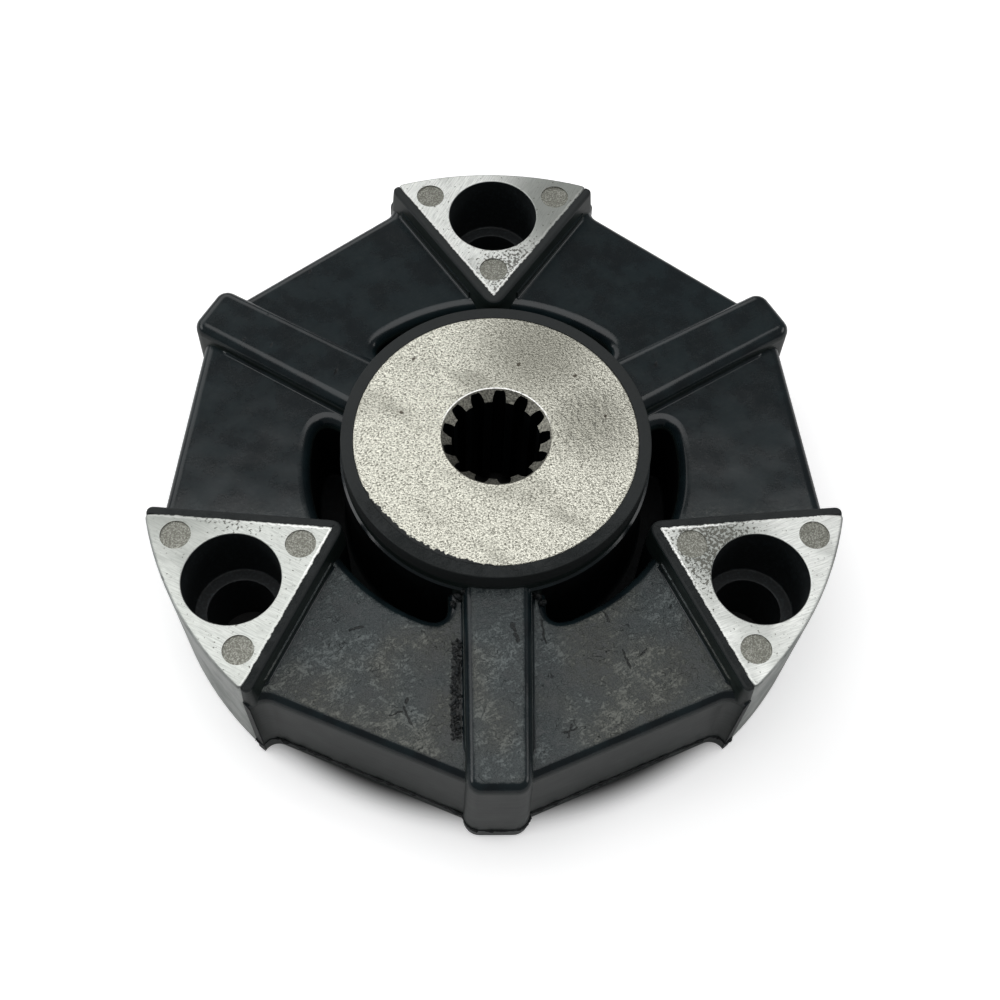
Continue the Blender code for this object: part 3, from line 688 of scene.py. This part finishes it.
# The moat: one arc between two ribs, its rim rounded over and its ends along the ribs
outer = MOAT_RADIUS + MOAT_RIM_ROUND
reach = MOAT_END - MOAT_RIM_ROUND
far = sqrt(outer ** 2 - reach ** 2)
moat = blank("moat", outer, BLOCK_TOP, TOOL_TOP)
moat_ends = []
for side in (1, -1):
    turn = radians(60) * side
    along = (cos(turn), sin(turn))
    away = (cos(turn - side * pi / 2), sin(turn - side * pi / 2))
    saw((away[0] * reach, away[1] * reach, 0.0), (-away[0], -away[1], 0.0))
    moat_ends.append((along[0] * far + away[0] * reach, along[1] * far + away[1] * reach))
for place in moat_ends:
    round_corner(place, MOAT_CORNER_TOUCH, 11)
wall = (0.0, BLOCK_TOP - MOAT_FLOOR - MOAT_RIM_ROUND - MOAT_FLOOR_ROUND)
shape_face(BLOCK_TOP, -1, fillet_steps(MOAT_RIM_ROUND, 9) + [wall] + round_steps(MOAT_FLOOR_ROUND, 4))
close(moat)
for angle in INSERT_ANGLES:
    combine(blocks, turned_copy(moat, "moat_copy", angle), "DIFFERENCE")
bpy.data.objects.remove(moat)

# The ring: a fillet up from the moat's floor, a low step below the hub's face and a dulled top edge
ring_foot = MOAT_FLOOR - STEP_APART
ring = blank("ring", RING_RADIUS + 1.7 * MM, UNDERSIDE + 2 * MM, ring_foot)
shape_face(ring_foot, 1, fillet_steps(RING_FILLET, 5) + [
    (0.0, RING_STEP - MOAT_FLOOR - RING_FILLET), (0.5 * MM, 0.4 * MM),
    (0.0, HUB_TOP - RING_STEP - 0.7 * MM)] + round_steps(0.3 * MM, 3))
close(ring)
combine(blocks, ring, "UNION")


def rib_blank(name, extra, end, low, high):
    """A rib's plan, sawn to its taper along +X and this much wider on each side."""
    piece = blank(name, WIDE, low, high, WIDE_SIDES)
    saw((end, 0.0, 0.0), (1.0, 0.0, 0.0))
    saw((RIB_ROOT, 0.0, 0.0), (-1.0, 0.0, 0.0))
    taper = atan2(RIB_ROOT_HALF - RIB_TIP_HALF, COUPLING_RADIUS - RIB_ROOT)
    for side in (1, -1):
        saw((RIB_ROOT, side * (RIB_ROOT_HALF + extra), 0.0), (sin(taper), side * cos(taper), 0.0))
    return piece


# Ribs, each with a hollow fillet along its foot
rib = rib_blank("rib", 0.0, RIB_END, BAND_FOOT, PARTING)
pick("EDGE", lambda middle, along: abs(along.z) > 0.99 and middle.x > 70 * MM)
round_off(RIB_CORNER_TOUCH, 8)
shape_face(PARTING, 1, [(DRAFT, RIB_TOP - RIB_EDGE_ROUND - PARTING)] + round_steps(RIB_EDGE_ROUND, 8))
shape_face(BAND_FOOT, -1, [(0.0, BAND_FOOT - UNDERSIDE - RIB_FOOT_ROUND - RIB_FOOT_LIFT)]
           + round_steps(RIB_FOOT_ROUND, 4))
close(rib)
fillet_foot = BLOCK_TOP - STEP_APART
rib_foot = rib_blank("rib_foot", RIB_FILLET_WIDTH, 68 * MM, BLOCK_TOP - 2 * MM, fillet_foot)
pick("EDGE", lambda middle, along: abs(along.z) > 0.99 and middle.x > 60 * MM)
round_off(2.5 * MM, 5)
shape_face(fillet_foot, 1, fillet_steps(1.0 * MM, 5) + [(0.0, 1 * MM)])
close(rib_foot)
for angle in RIB_ANGLES:
    combine(blocks, turned_copy(rib, "rib_copy", angle), "UNION")
    combine(blocks, turned_copy(rib_foot, "rib_foot_copy", angle), "UNION")

# Skins round the inserts, each with its own fillet, and then the metal's room cut out of the whole
skin = wedge("skin", LIP_RADIUS - STEP_APART, SKIN_WALL, BAND_FOOT, PARTING)
nose = flank(flank_reach(LIP_RADIUS - STEP_APART, SKIN_WALL), SKIN_WALL)
for side in (1, -1):
    round_corner((nose[0], side * nose[1]), SKIN_NOSE_TOUCH, 7)
shape_face(PARTING, 1, [
    (0.1 * MM, BLOCK_TOP - PARTING - 1 * MM), (0.5 * MM, INSERT_HEIGHT - BLOCK_TOP + 0.1 * MM),
] + round_steps(SKIN_EDGE_ROUND, 5))
shape_face(BAND_FOOT, -1, [(0.0, BAND_FOOT - UNDERSIDE - SKIN_FOOT_ROUND - SKIN_FOOT_LIFT)]
           + round_steps(SKIN_FOOT_ROUND, 4))
close(skin)
fillet_wall = SKIN_WALL + 0.9 * MM
skin_foot = wedge("skin_foot", SKIN_FILLET_RADIUS, fillet_wall, BLOCK_TOP - 2 * MM, fillet_foot)
nose = flank(flank_reach(SKIN_FILLET_RADIUS, fillet_wall), fillet_wall)
for side in (1, -1):
    round_corner((nose[0], side * nose[1]), SKIN_FILLET_NOSE_TOUCH, 5)
saw((42 * MM, 0.0, 0.0), (-1.0, 0.0, 0.0))
shape_face(fillet_foot, 1, fillet_steps(0.9 * MM, 5) + [(0.0, 1 * MM)])
close(skin_foot)
room = wedge("room", WIDE, -BOND_OVERLAP, TOOL_FOOT, TOOL_TOP)
close(room)
for angle in INSERT_ANGLES:
    combine(blocks, turned_copy(skin_foot, "skin_foot_copy", angle), "UNION")
    combine(blocks, turned_copy(skin, "skin_copy", angle), "UNION")
    combine(blocks, turned_copy(room, "room_copy", angle), "DIFFERENCE")
for tool in (rib, rib_foot, skin_foot, skin, room):
    bpy.data.objects.remove(tool)
combine(blocks, close(blank("hub_room", HUB_RADIUS - BOND_OVERLAP, TOOL_FOOT, TOOL_TOP)), "DIFFERENCE")


def stroke(material, place, start, end, width):
    """One along a scratch between two places in the plan, in millimetres, and nought beside it."""
    run = (end[0] - start[0], end[1] - start[1], 0.0)
    flat = add(material, "VectorMath", place, FLAT, operation="MULTIPLY")
    there = add(material, "VectorMath", flat, (*start, 0.0), operation="SUBTRACT")
    per_length = [r / (run[0] ** 2 + run[1] ** 2) for r in run]
    share = add(material, "VectorMath", there, per_length, operation="DOT_PRODUCT", output="Value")
    share = add(material, "Clamp", share)
    nearest = add(material, "VectorMath", run, Scale=share, operation="SCALE")
    away = add(material, "VectorMath", there, nearest, operation="DISTANCE", output="Value")
    return add(material, "MapRange", away, 0.5 * width, width, 1.0, 0.0, **EASED)


SCRATCHES = (
    # start, end and width in mm
    ((-21.5, -58.7), (-19.3, -57.8), 0.22), ((-18.8, -57.0), (-17.3, -60.3), 0.3),
    ((13.1, -62.1), (15.5, -61.3), 0.22), ((14.5, -60.4), (13.7, -63.3), 0.2),
    ((9.0, -38.1), (9.8, -43.0), 0.25), ((22.3, -36.3), (23.0, -38.6), 0.25),
    ((3.0, -40.9), (4.0, -44.2), 0.5), ((25.5, -44.8), (26.8, -48.6), 0.25),
    ((28.9, -45.9), (30.6, -44.6), 0.2), ((-30.2, -40.4), (-27.6, -39.6), 0.2),
)

# Moulded rubber: black, faintly blue-green and half-glossy as it leaves the mould. Its upper side
# has a film of dust that is thicker towards the front, with rubbed patches, nicks and scratches.
rubber, shader = new_material("moulded_rubber", 0.34, 0.0)
place = in_mm(rubber)
length, height = add(rubber, "SeparateXYZ", place).node.outputs[1:]
facing = add(rubber, "SeparateXYZ", add(rubber, "NewGeometry", output="Normal"), output=2)
upward = add(rubber, "MapRange", facing, 0.9, 0.995, **EASED)
high = add(rubber, "MapRange", height, 26.5, 28.3, **EASED)
front = add(rubber, "MapRange", length, -8.0, -30.0, **EASED)
cloud = add(rubber, "TexNoise", place, Scale=0.07, Detail=5.0, Roughness=0.6)
crumbs = add(rubber, "TexNoise", place, Scale=1.1, Detail=5.0, Roughness=0.7)
fine = add(rubber, "TexNoise", place, Scale=3.0, Roughness=0.6)
patches = add(
    rubber, "TexNoise", in_mm(rubber, radians(35), (0.8, 1.3, 1.0)), Scale=0.3, Detail=5.0, Roughness=0.7
)
wiped = add(
    rubber, "TexNoise", in_mm(rubber, radians(-30), (0.6, 1.7, 1.0)), Scale=0.9, Detail=4.0, Roughness=0.7
)

# The film of dust, uneven in four ways: each pattern's range, and how much it lets settle there
film = add(
    rubber, "Math", front, add(rubber, "MapRange", cloud, 0.36, 0.62, 0.42, 1.0, **EASED),
    operation="MULTIPLY"
)
film = add(rubber, "Math", film, 0.03, operation="ADD")
film = add(
    rubber, "Math", film, add(rubber, "Math", upward, high, operation="MULTIPLY"), operation="MULTIPLY"
)
for pattern, low, top, least, most in (
        (crumbs, 0.36, 0.58, 0.7, 1.0), (patches, 0.38, 0.6, 0.5, 1.05),
        (wiped, 0.4, 0.6, 0.68, 1.24), (fine, 0.35, 0.65, 0.55, 1.25)):
    film = add(
        rubber, "Math", film, add(rubber, "MapRange", pattern, low, top, least, most, **EASED),
        operation="MULTIPLY"
    )
mottle = add(rubber, "TexNoise", place, Scale=0.16, Detail=3.0)
clean = add(
    rubber, "Mix", add(rubber, "MapRange", mottle, 0.35, 0.65, **EASED), A_Color="#0F1619",
    B_Color="#151F22", **COLOURS
)
dust = add(
    rubber, "Mix",
    add(rubber, "MapRange", add(rubber, "TexNoise", place, Scale=0.05), 0.42, 0.6, **EASED),
    A_Color="#666862", B_Color="#5D6464", **COLOURS
)
drawn = add(rubber, "TexNoise", in_mm(rubber, 0.0, (0.12, 0.12, 2.4)), Scale=0.8, Detail=3.0)
streaky = add(
    rubber, "Mix", add(rubber, "MapRange", drawn, 0.38, 0.62, **EASED), A_Color="#131A18",
    B_Color="#1D2624", **COLOURS
)
wall_face = add(
    rubber, "Math", add(rubber, "MapRange", facing, 0.1, 0.6, 1.0, 0.0, **EASED),
    add(rubber, "MapRange", facing, -0.7, -0.3, **EASED), operation="MULTIPLY"
)
clean = add(rubber, "Mix", wall_face, A_Color=clean, B_Color=streaky, **COLOURS)
rubber_colour = add(rubber, "Mix", film, A_Color=clean, B_Color=dust, **COLOURS)

# Nicks, hairlines and the named scratches, all shaken a little off their straight lines
nick_place = in_mm(rubber, radians(20), (1.0, 0.45, 0.2))
nick_place = add(rubber, "TexVoronoi", nick_place, Scale=0.17, output="Distance")
nick_place = add(rubber, "Math", crumbs, 0.1, nick_place, operation="MULTIPLY_ADD")
nicks = add(
    rubber, "Math", add(rubber, "MapRange", nick_place, 0.09, 0.12, 1.0, 0.0, **EASED), upward,
    operation="MULTIPLY"
)
curl = add(
    rubber, "Math", add(rubber, "TexNoise", place, Scale=0.33, Detail=1.0), 0.5, operation="SUBTRACT"
)
curl = add(
    rubber, "MapRange", add(rubber, "Math", curl, operation="ABSOLUTE"), 0.002, 0.006, 1.0, 0.0, **EASED
)
hair = add(
    rubber, "Math", curl, add(rubber, "MapRange", patches, 0.5, 0.56, **EASED), operation="MULTIPLY"
)
hair = add(
    rubber, "Math", hair, add(rubber, "Math", upward, front, operation="MULTIPLY"), operation="MULTIPLY"
)
nicks = add(
    rubber, "Math", nicks, add(rubber, "Math", hair, 0.8, operation="MULTIPLY"), operation="MAXIMUM"
)
shaken = add(rubber, "TexNoise", place, Scale=0.7, Detail=3.0, output="Color")
shaken = add(rubber, "VectorMath", shaken, (1.4, 1.4, 0.0), (-0.7, -0.7, 0.0), operation="MULTIPLY_ADD")
shaken = add(rubber, "VectorMath", shaken, place, operation="ADD")
for start, end, width in SCRATCHES:
    scratch = add(rubber, "Math", stroke(rubber, shaken, start, end, width), upward, operation="MULTIPLY")
    nicks = add(rubber, "Math", nicks, scratch, operation="MAXIMUM")
rubber_colour = add(
    rubber, "Mix", add(rubber, "Math", nicks, 0.85, operation="MULTIPLY"), A_Color=rubber_colour,
    B_Color="#070A0B", **COLOURS
)

# The torn band beside the front rib, between these places across and along
torn = high
for axis, low, top, at_low, at_top in (
        (0, -9.4, -9.2, 0.0, 1.0), (0, -7.3, -7.0, 1.0, 0.0),
        (1, -64.5, -63.5, 0.0, 1.0), (1, -43.0, -42.0, 1.0, 0.0)):
    band = add(
        rubber, "MapRange", add(rubber, "SeparateXYZ", shaken, output=axis), low, top, at_low, at_top,
        **EASED
    )
    torn = add(rubber, "Math", torn, band, operation="MULTIPLY")
rubber_colour = add(
    rubber, "Mix", add(rubber, "Math", torn, 0.85, operation="MULTIPLY"), A_Color=rubber_colour,
    B_Color="#0A0E0F", **COLOURS
)

# The skins' cut tops, and painted shade in the depth of the moat
cut_top = add(rubber, "MapRange", height, 33.4, 33.7, **EASED)
rubber_colour = add(
    rubber, "Mix", cut_top, A_Color=rubber_colour,
    B_Color=add(rubber, "Mix", crumbs, A_Color="#141819", B_Color="#232727", **COLOURS), **COLOURS
)
flat = add(rubber, "VectorMath", place, FLAT, operation="MULTIPLY")
from_axis = add(rubber, "VectorMath", flat, operation="LENGTH", output="Value")
# Painted shade: near black inside the moat's rim and below its top
painted_moat_shade = add(rubber, "MapRange", from_axis, 40.8, 42.5, 1.0, 0.0, **EASED)
painted_moat_shade = add(
    rubber, "Math", painted_moat_shade, add(rubber, "MapRange", height, 20.0, 27.5, 1.0, 0.0, **EASED),
    operation="MULTIPLY"
)
rubber_colour = add(rubber, "Mix", painted_moat_shade, A_Color=rubber_colour, B_Color="#050809", **COLOURS)

# Roughness: dust, cut faces, walls and the moat are duller than the clean moulded top
dulled = add(
    rubber, "Math", painted_moat_shade, 0.3, add(rubber, "MapRange", facing, 0.1, 0.5, 0.22, 0.0, **EASED),
    operation="MULTIPLY_ADD"
)
dulled = add(
    rubber, "Math", add(rubber, "Math", cut_top, 0.5, operation="MULTIPLY"), dulled, operation="MAXIMUM"
)
rough = add(
    rubber, "Math", mottle, 0.1, add(rubber, "Math", film, 0.3, operation="MULTIPLY"),
    operation="MULTIPLY_ADD"
)
rough = add(rubber, "Math", rough, add(rubber, "Math", dulled, 0.14, operation="ADD"), operation="ADD")
swell = add(rubber, "Bump", Height=add(rubber, "TexNoise", place, Scale=0.045), Distance=0.5 * MM)
crumbly = add(rubber, "Math", crumbs, patches, operation="ADD")
crumbly = add(
    rubber, "Math", crumbly, add(rubber, "MapRange", film, 0.0, 0.8, 0.1, 1.0, **EASED),
    operation="MULTIPLY"
)
crumbly = add(rubber, "Math", nicks, -1.5, crumbly, operation="MULTIPLY_ADD")
ridges = add(
    rubber, "Math", drawn, add(rubber, "MapRange", facing, 0.0, 0.3, 0.14, 0.0, **EASED),
    operation="MULTIPLY"
)
surface = add(
    rubber, "Bump", Height=add(rubber, "Math", crumbly, ridges, operation="ADD"), Distance=0.12 * MM,
    Normal=swell
)
shader.inputs["Specular IOR Level"].default_value = 0.38
wire(rubber, shader, rubber_colour, rough, None, surface)
paint(blocks, rubber)

# Rubber down in the moat: the same moulding, painted near black and dull as the shade deep in the moat
moat_shade_rubber, shader = grained(
    "moat_rubber_painted_shade", 0.6, 0.0, {"Scale": 0.5, "Detail": 3.0}, (0.4, 0.7),
    ("#030506", "#080C0D"), 0.1 * MM)
shader.inputs["Specular IOR Level"].default_value = 0.12
paint(blocks, moat_shade_rubber, lambda middle, normal: (
    hypot(middle.x, middle.y) < 41.5 * MM and PARTING - 2 * MM < middle.z < 26 * MM))

# Parting flash: the thin torn fin of rubber that the mould's two halves squeezed out between them
flash = turned_copy(blocks, "parting_flash", 0.0)
bpy.ops.object.mode_set(mode="EDIT")
bpy.ops.mesh.select_all(action="SELECT")
bpy.ops.mesh.bisect(
    plane_co=(0.0, 0.0, PARTING - 0.35 * MM), plane_no=(0.0, 0.0, 1.0), clear_inner=True, clear_outer=True)


def off_the_outline(middle, along):
    """Edges on the hub, in the moat or on an insert's flank, where the fin was never open to the air."""
    if hypot(middle.x, middle.y) < 60 * MM:
        return True
    for angle in INSERT_ANGLES:
        u = middle.x * cos(angle) + middle.y * sin(angle)
        v = abs(middle.y * cos(angle) - middle.x * sin(angle))
        if u > 0 and (u - INSERT_APEX) * sin(FLANK_ANGLE) - v * cos(FLANK_ANGLE) > -0.1 * MM:
            return True
    return False


pick("EDGE", off_the_outline)
bpy.ops.mesh.delete(type="EDGE")
bpy.ops.mesh.select_all(action="SELECT")
bpy.ops.mesh.remove_doubles(threshold=0.02 * MM)

# Edges all along are halved until they are short, so that the tears can be small
for _ in range(6):
    pick("EDGE", lambda middle, along: True)
    long_edges = bmesh.from_edit_mesh(flash.data)
    for edge in long_edges.edges:
        edge.select_set(edge.calc_length() > 0.5 * MM)
    bmesh.update_edit_mesh(flash.data)
    bpy.ops.mesh.subdivide(number_cuts=1)
close(flash)
bpy.ops.object.convert(target="CURVE")
flash.data.bevel_depth = 0.3 * MM
flash.data.bevel_resolution = 2
flash.data.use_fill_caps = True
tear_draw = Random(7)
for spline in flash.data.splines:
    size, drift = 1.0, 0.0
    for point in spline.points:
        size = 0.6 * size + 0.4 * tear_draw.choice((0.4, 0.6, 0.9, 1.4, 2.6))
        drift = 0.6 * drift + tear_draw.uniform(-0.14, 0.14) * MM
        outward = Vector((point.co.x, point.co.y, 0.0)).normalized()
        shift = 0.1 * MM + 0.12 * MM * (size - 1.0)
        point.co = (point.co.x + outward.x * shift, point.co.y + outward.y * shift, point.co.z + drift, 1.0)
        point.radius = size * tear_draw.uniform(0.8, 1.25)
bpy.ops.object.convert(target="MESH")
flash.data.materials.clear()
torn_rubber, shader = grained(
    "torn_black_rubber", 0.5, 0.0, {"Scale": 1.4, "Detail": 3.0}, (0.4, 0.7),
    ("#060809", "#1B2022"), 0.2 * MM)
shader.inputs["Specular IOR Level"].default_value = 0.3
paint(flash, torn_rubber)
paint(blocks, torn_rubber, lambda middle, normal: (
    hypot(middle.x, middle.y) > LIP_RADIUS - 0.2 * MM and abs(normal.z) < 0.5
    and any(middle.x * cos(angle) + middle.y * sin(angle) > 67 * MM for angle in INSERT_ANGLES)))
smooth(flash, 60)
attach(flash, "root")
smooth(blocks, 32)
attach(blocks, "root")
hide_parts("rubber_body")

# Torn bits: the fin that was torn off beside the front rib left a crumbly band, and small lumps
# stayed in the corners where the ribs run into the moat.

TORN_BAND = ((-8.6, -42.5), (-8.8, -48.0), (-8.9, -53.3), (-9.0, -58.5), (-8.5, -63.5))
LUMPS = (
    # place in mm, half sizes in mm
    ((-7.9, -33.4, 29.4), (0.7, 1.2, 0.9)), ((-9.1, -34.6, 28.6), (0.8, 0.6, 0.7)),
    ((8.3, -33.2, 29.5), (0.6, 1.1, 0.9)), ((9.4, -34.3, 28.6), (0.9, 0.6, 0.7)),
    ((-6.9, -32.9, 31.0), (0.5, 0.8, 0.6)),
)
CRUMBS = 34
bits_draw = Random(11)
bits = [(place, sizes, 3) for place, sizes in LUMPS]
for start, end in zip(TORN_BAND, TORN_BAND[1:]):
    for step in range(CRUMBS):
        share = (step + bits_draw.random()) / CRUMBS
        wide = bits_draw.uniform(-0.6, 1.1)
        size = bits_draw.uniform(0.12, 0.34)
        x, y = [a + (b - a) * share for a, b in zip(start, end)]
        height = BLOCK_TOP / MM + 0.7 * max(0.0, wide - 0.3)
        bits.append(((x + wide, y, height), (size, size * bits_draw.uniform(0.8, 1.8), 0.7 * size), 1))
bpy.ops.object.select_all(action="DESELECT")
made = []
for middle, sizes, finish in bits:
    bpy.ops.mesh.primitive_ico_sphere_add(
        subdivisions=finish + 1, radius=1.0, location=[m * MM for m in middle], scale=[s * MM for s in sizes],
        rotation=(bits_draw.uniform(-0.5, 0.5), bits_draw.uniform(-0.5, 0.5), bits_draw.uniform(0.0, 3.0)))
    made.append(bpy.context.object)
for bit in made:
    bit.select_set(True)
torn_bits = made[0]
bpy.context.view_layer.objects.active = torn_bits
bpy.ops.object.join()
bpy.ops.object.transform_apply(location=True, rotation=True, scale=True)
torn_bits.name = torn_bits.data.name = "torn_rubber_bits"
bpy.ops.object.mode_set(mode="EDIT")
bpy.ops.mesh.select_all(action="SELECT")
bpy.ops.transform.vertex_random(offset=0.12 * MM, seed=5)
close(torn_bits)
paint(torn_bits, torn_rubber)
smooth(torn_bits, 50)
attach(torn_bits, "root")

# Studio: a plain pale table, with large soft lights overhead and behind and a weak one from each
# side. The floor reads white beyond the part, and under it, where the holes look down, it is
# painted dark grey as shade.

bpy.ops.object.select_all(action="DESELECT")
bpy.ops.mesh.primitive_plane_add(size=4.0, location=(0.0, 0.0, -0.0001))
table = bpy.context.object
table.name = "table"
pale, shader = new_material("pale_matt_table", 0.9, 0.0)
rays = add(pale, "LightPath").node.outputs
seen = add(pale, "Math", rays["Is Glossy Ray"], 0.5, operation="MULTIPLY")
seen = add(pale, "Math", rays["Is Camera Ray"], seen, operation="MAXIMUM")
from_axis = add(pale, "VectorMath", in_mm(pale), operation="LENGTH", output="Value")
open_floor = add(pale, "MapRange", from_axis, 68.0, 76.0, **EASED)
seen = add(pale, "Math", seen, open_floor, operation="MULTIPLY")
lift = add(pale, "Math", rays["Is Camera Ray"], open_floor, operation="MULTIPLY")
lift = add(
    pale, "Math", lift, add(pale, "MapRange", from_axis, 250.0, 900.0, 0.36, 1.2, **EASED),
    operation="MULTIPLY"
)
# Painted shade: the floor under the part is dark grey
tone = add(
    pale, "Mix", seen,
    A_Color=add(pale, "Mix", open_floor, A_Color="#303030", B_Color="#BCBCBC", **COLOURS),
    B_Color="#FDFDFD", **COLOURS
)
wire(pale, shader, tone, None, None, None)
pale.node_tree.links.new(lift, shader.inputs["Emission Strength"])
shader.inputs["Emission Color"].default_value = (1.0, 1.0, 1.0, 1.0)
shader.inputs["Specular IOR Level"].default_value = 0.0
table.data.materials.append(pale)


def soft_light(name, place, aim, size, power):
    """A rectangular light that faces a place."""
    bpy.ops.object.light_add(type="AREA", location=place)
    light = bpy.context.object
    light.name = name
    light.data.shape = "RECTANGLE"
    light.data.size, light.data.size_y = size
    light.data.energy = power
    light.rotation_euler = (Vector(aim) - Vector(place)).to_track_quat("-Z", "Y").to_euler()


soft_light("overhead", (-0.05, 0.05, 1.1), (-0.05, 0.05, 0.0), (1.3, 0.98), 7.4)
soft_light("behind", (-0.9, 1.3, 0.93), (-0.1, 0.0, 0.0), (2.6, 1.1), 11.0)
soft_light("left", (-1.4, 0.0, 0.6), (0.0, 0.0, 0.02), (0.8, 0.5), 3.4)
soft_light("right", (1.4, 0.0, 0.6), (0.0, 0.0, 0.02), (0.8, 0.5), 2.8)

world = bpy.data.worlds.new("studio")
bpy.context.scene.world = world
world.use_nodes = True
background = world.node_tree.nodes["Background"]
to_camera = add(world, "LightPath", output="Is Camera Ray")
world.node_tree.links.new(
    add(world, "Mix", to_camera, A_Color="#767677", B_Color="#FFFFFF", **COLOURS),
    background.inputs["Color"]
)

# Camera, where the photograph was taken from
AZIMUTH, ELEVATION, ROLL = radians(-3.691), radians(62.159), radians(3.346)
back = Vector((sin(AZIMUTH) * cos(ELEVATION), -cos(AZIMUTH) * cos(ELEVATION), sin(ELEVATION)))
level = Vector((cos(AZIMUTH), sin(AZIMUTH), 0.0))
upward = back.cross(level)
right = level * cos(ROLL) + upward * sin(ROLL)
up = upward * cos(ROLL) - level * sin(ROLL)
lens = bpy.data.cameras.new("camera")
lens.lens = 50.975
lens.sensor_width = 36.0
camera = bpy.data.objects.new("camera", lens)
bpy.context.scene.collection.objects.link(camera)
place = Vector((0.725 * MM, -13.156 * MM, INSERT_HEIGHT)) + back * 297.5 * MM
camera.matrix_world = Matrix.Translation(place) @ Matrix((right, up, back)).transposed().to_4x4()
bpy.context.scene.camera = camera
bpy.context.scene.view_settings.view_transform = "Standard"
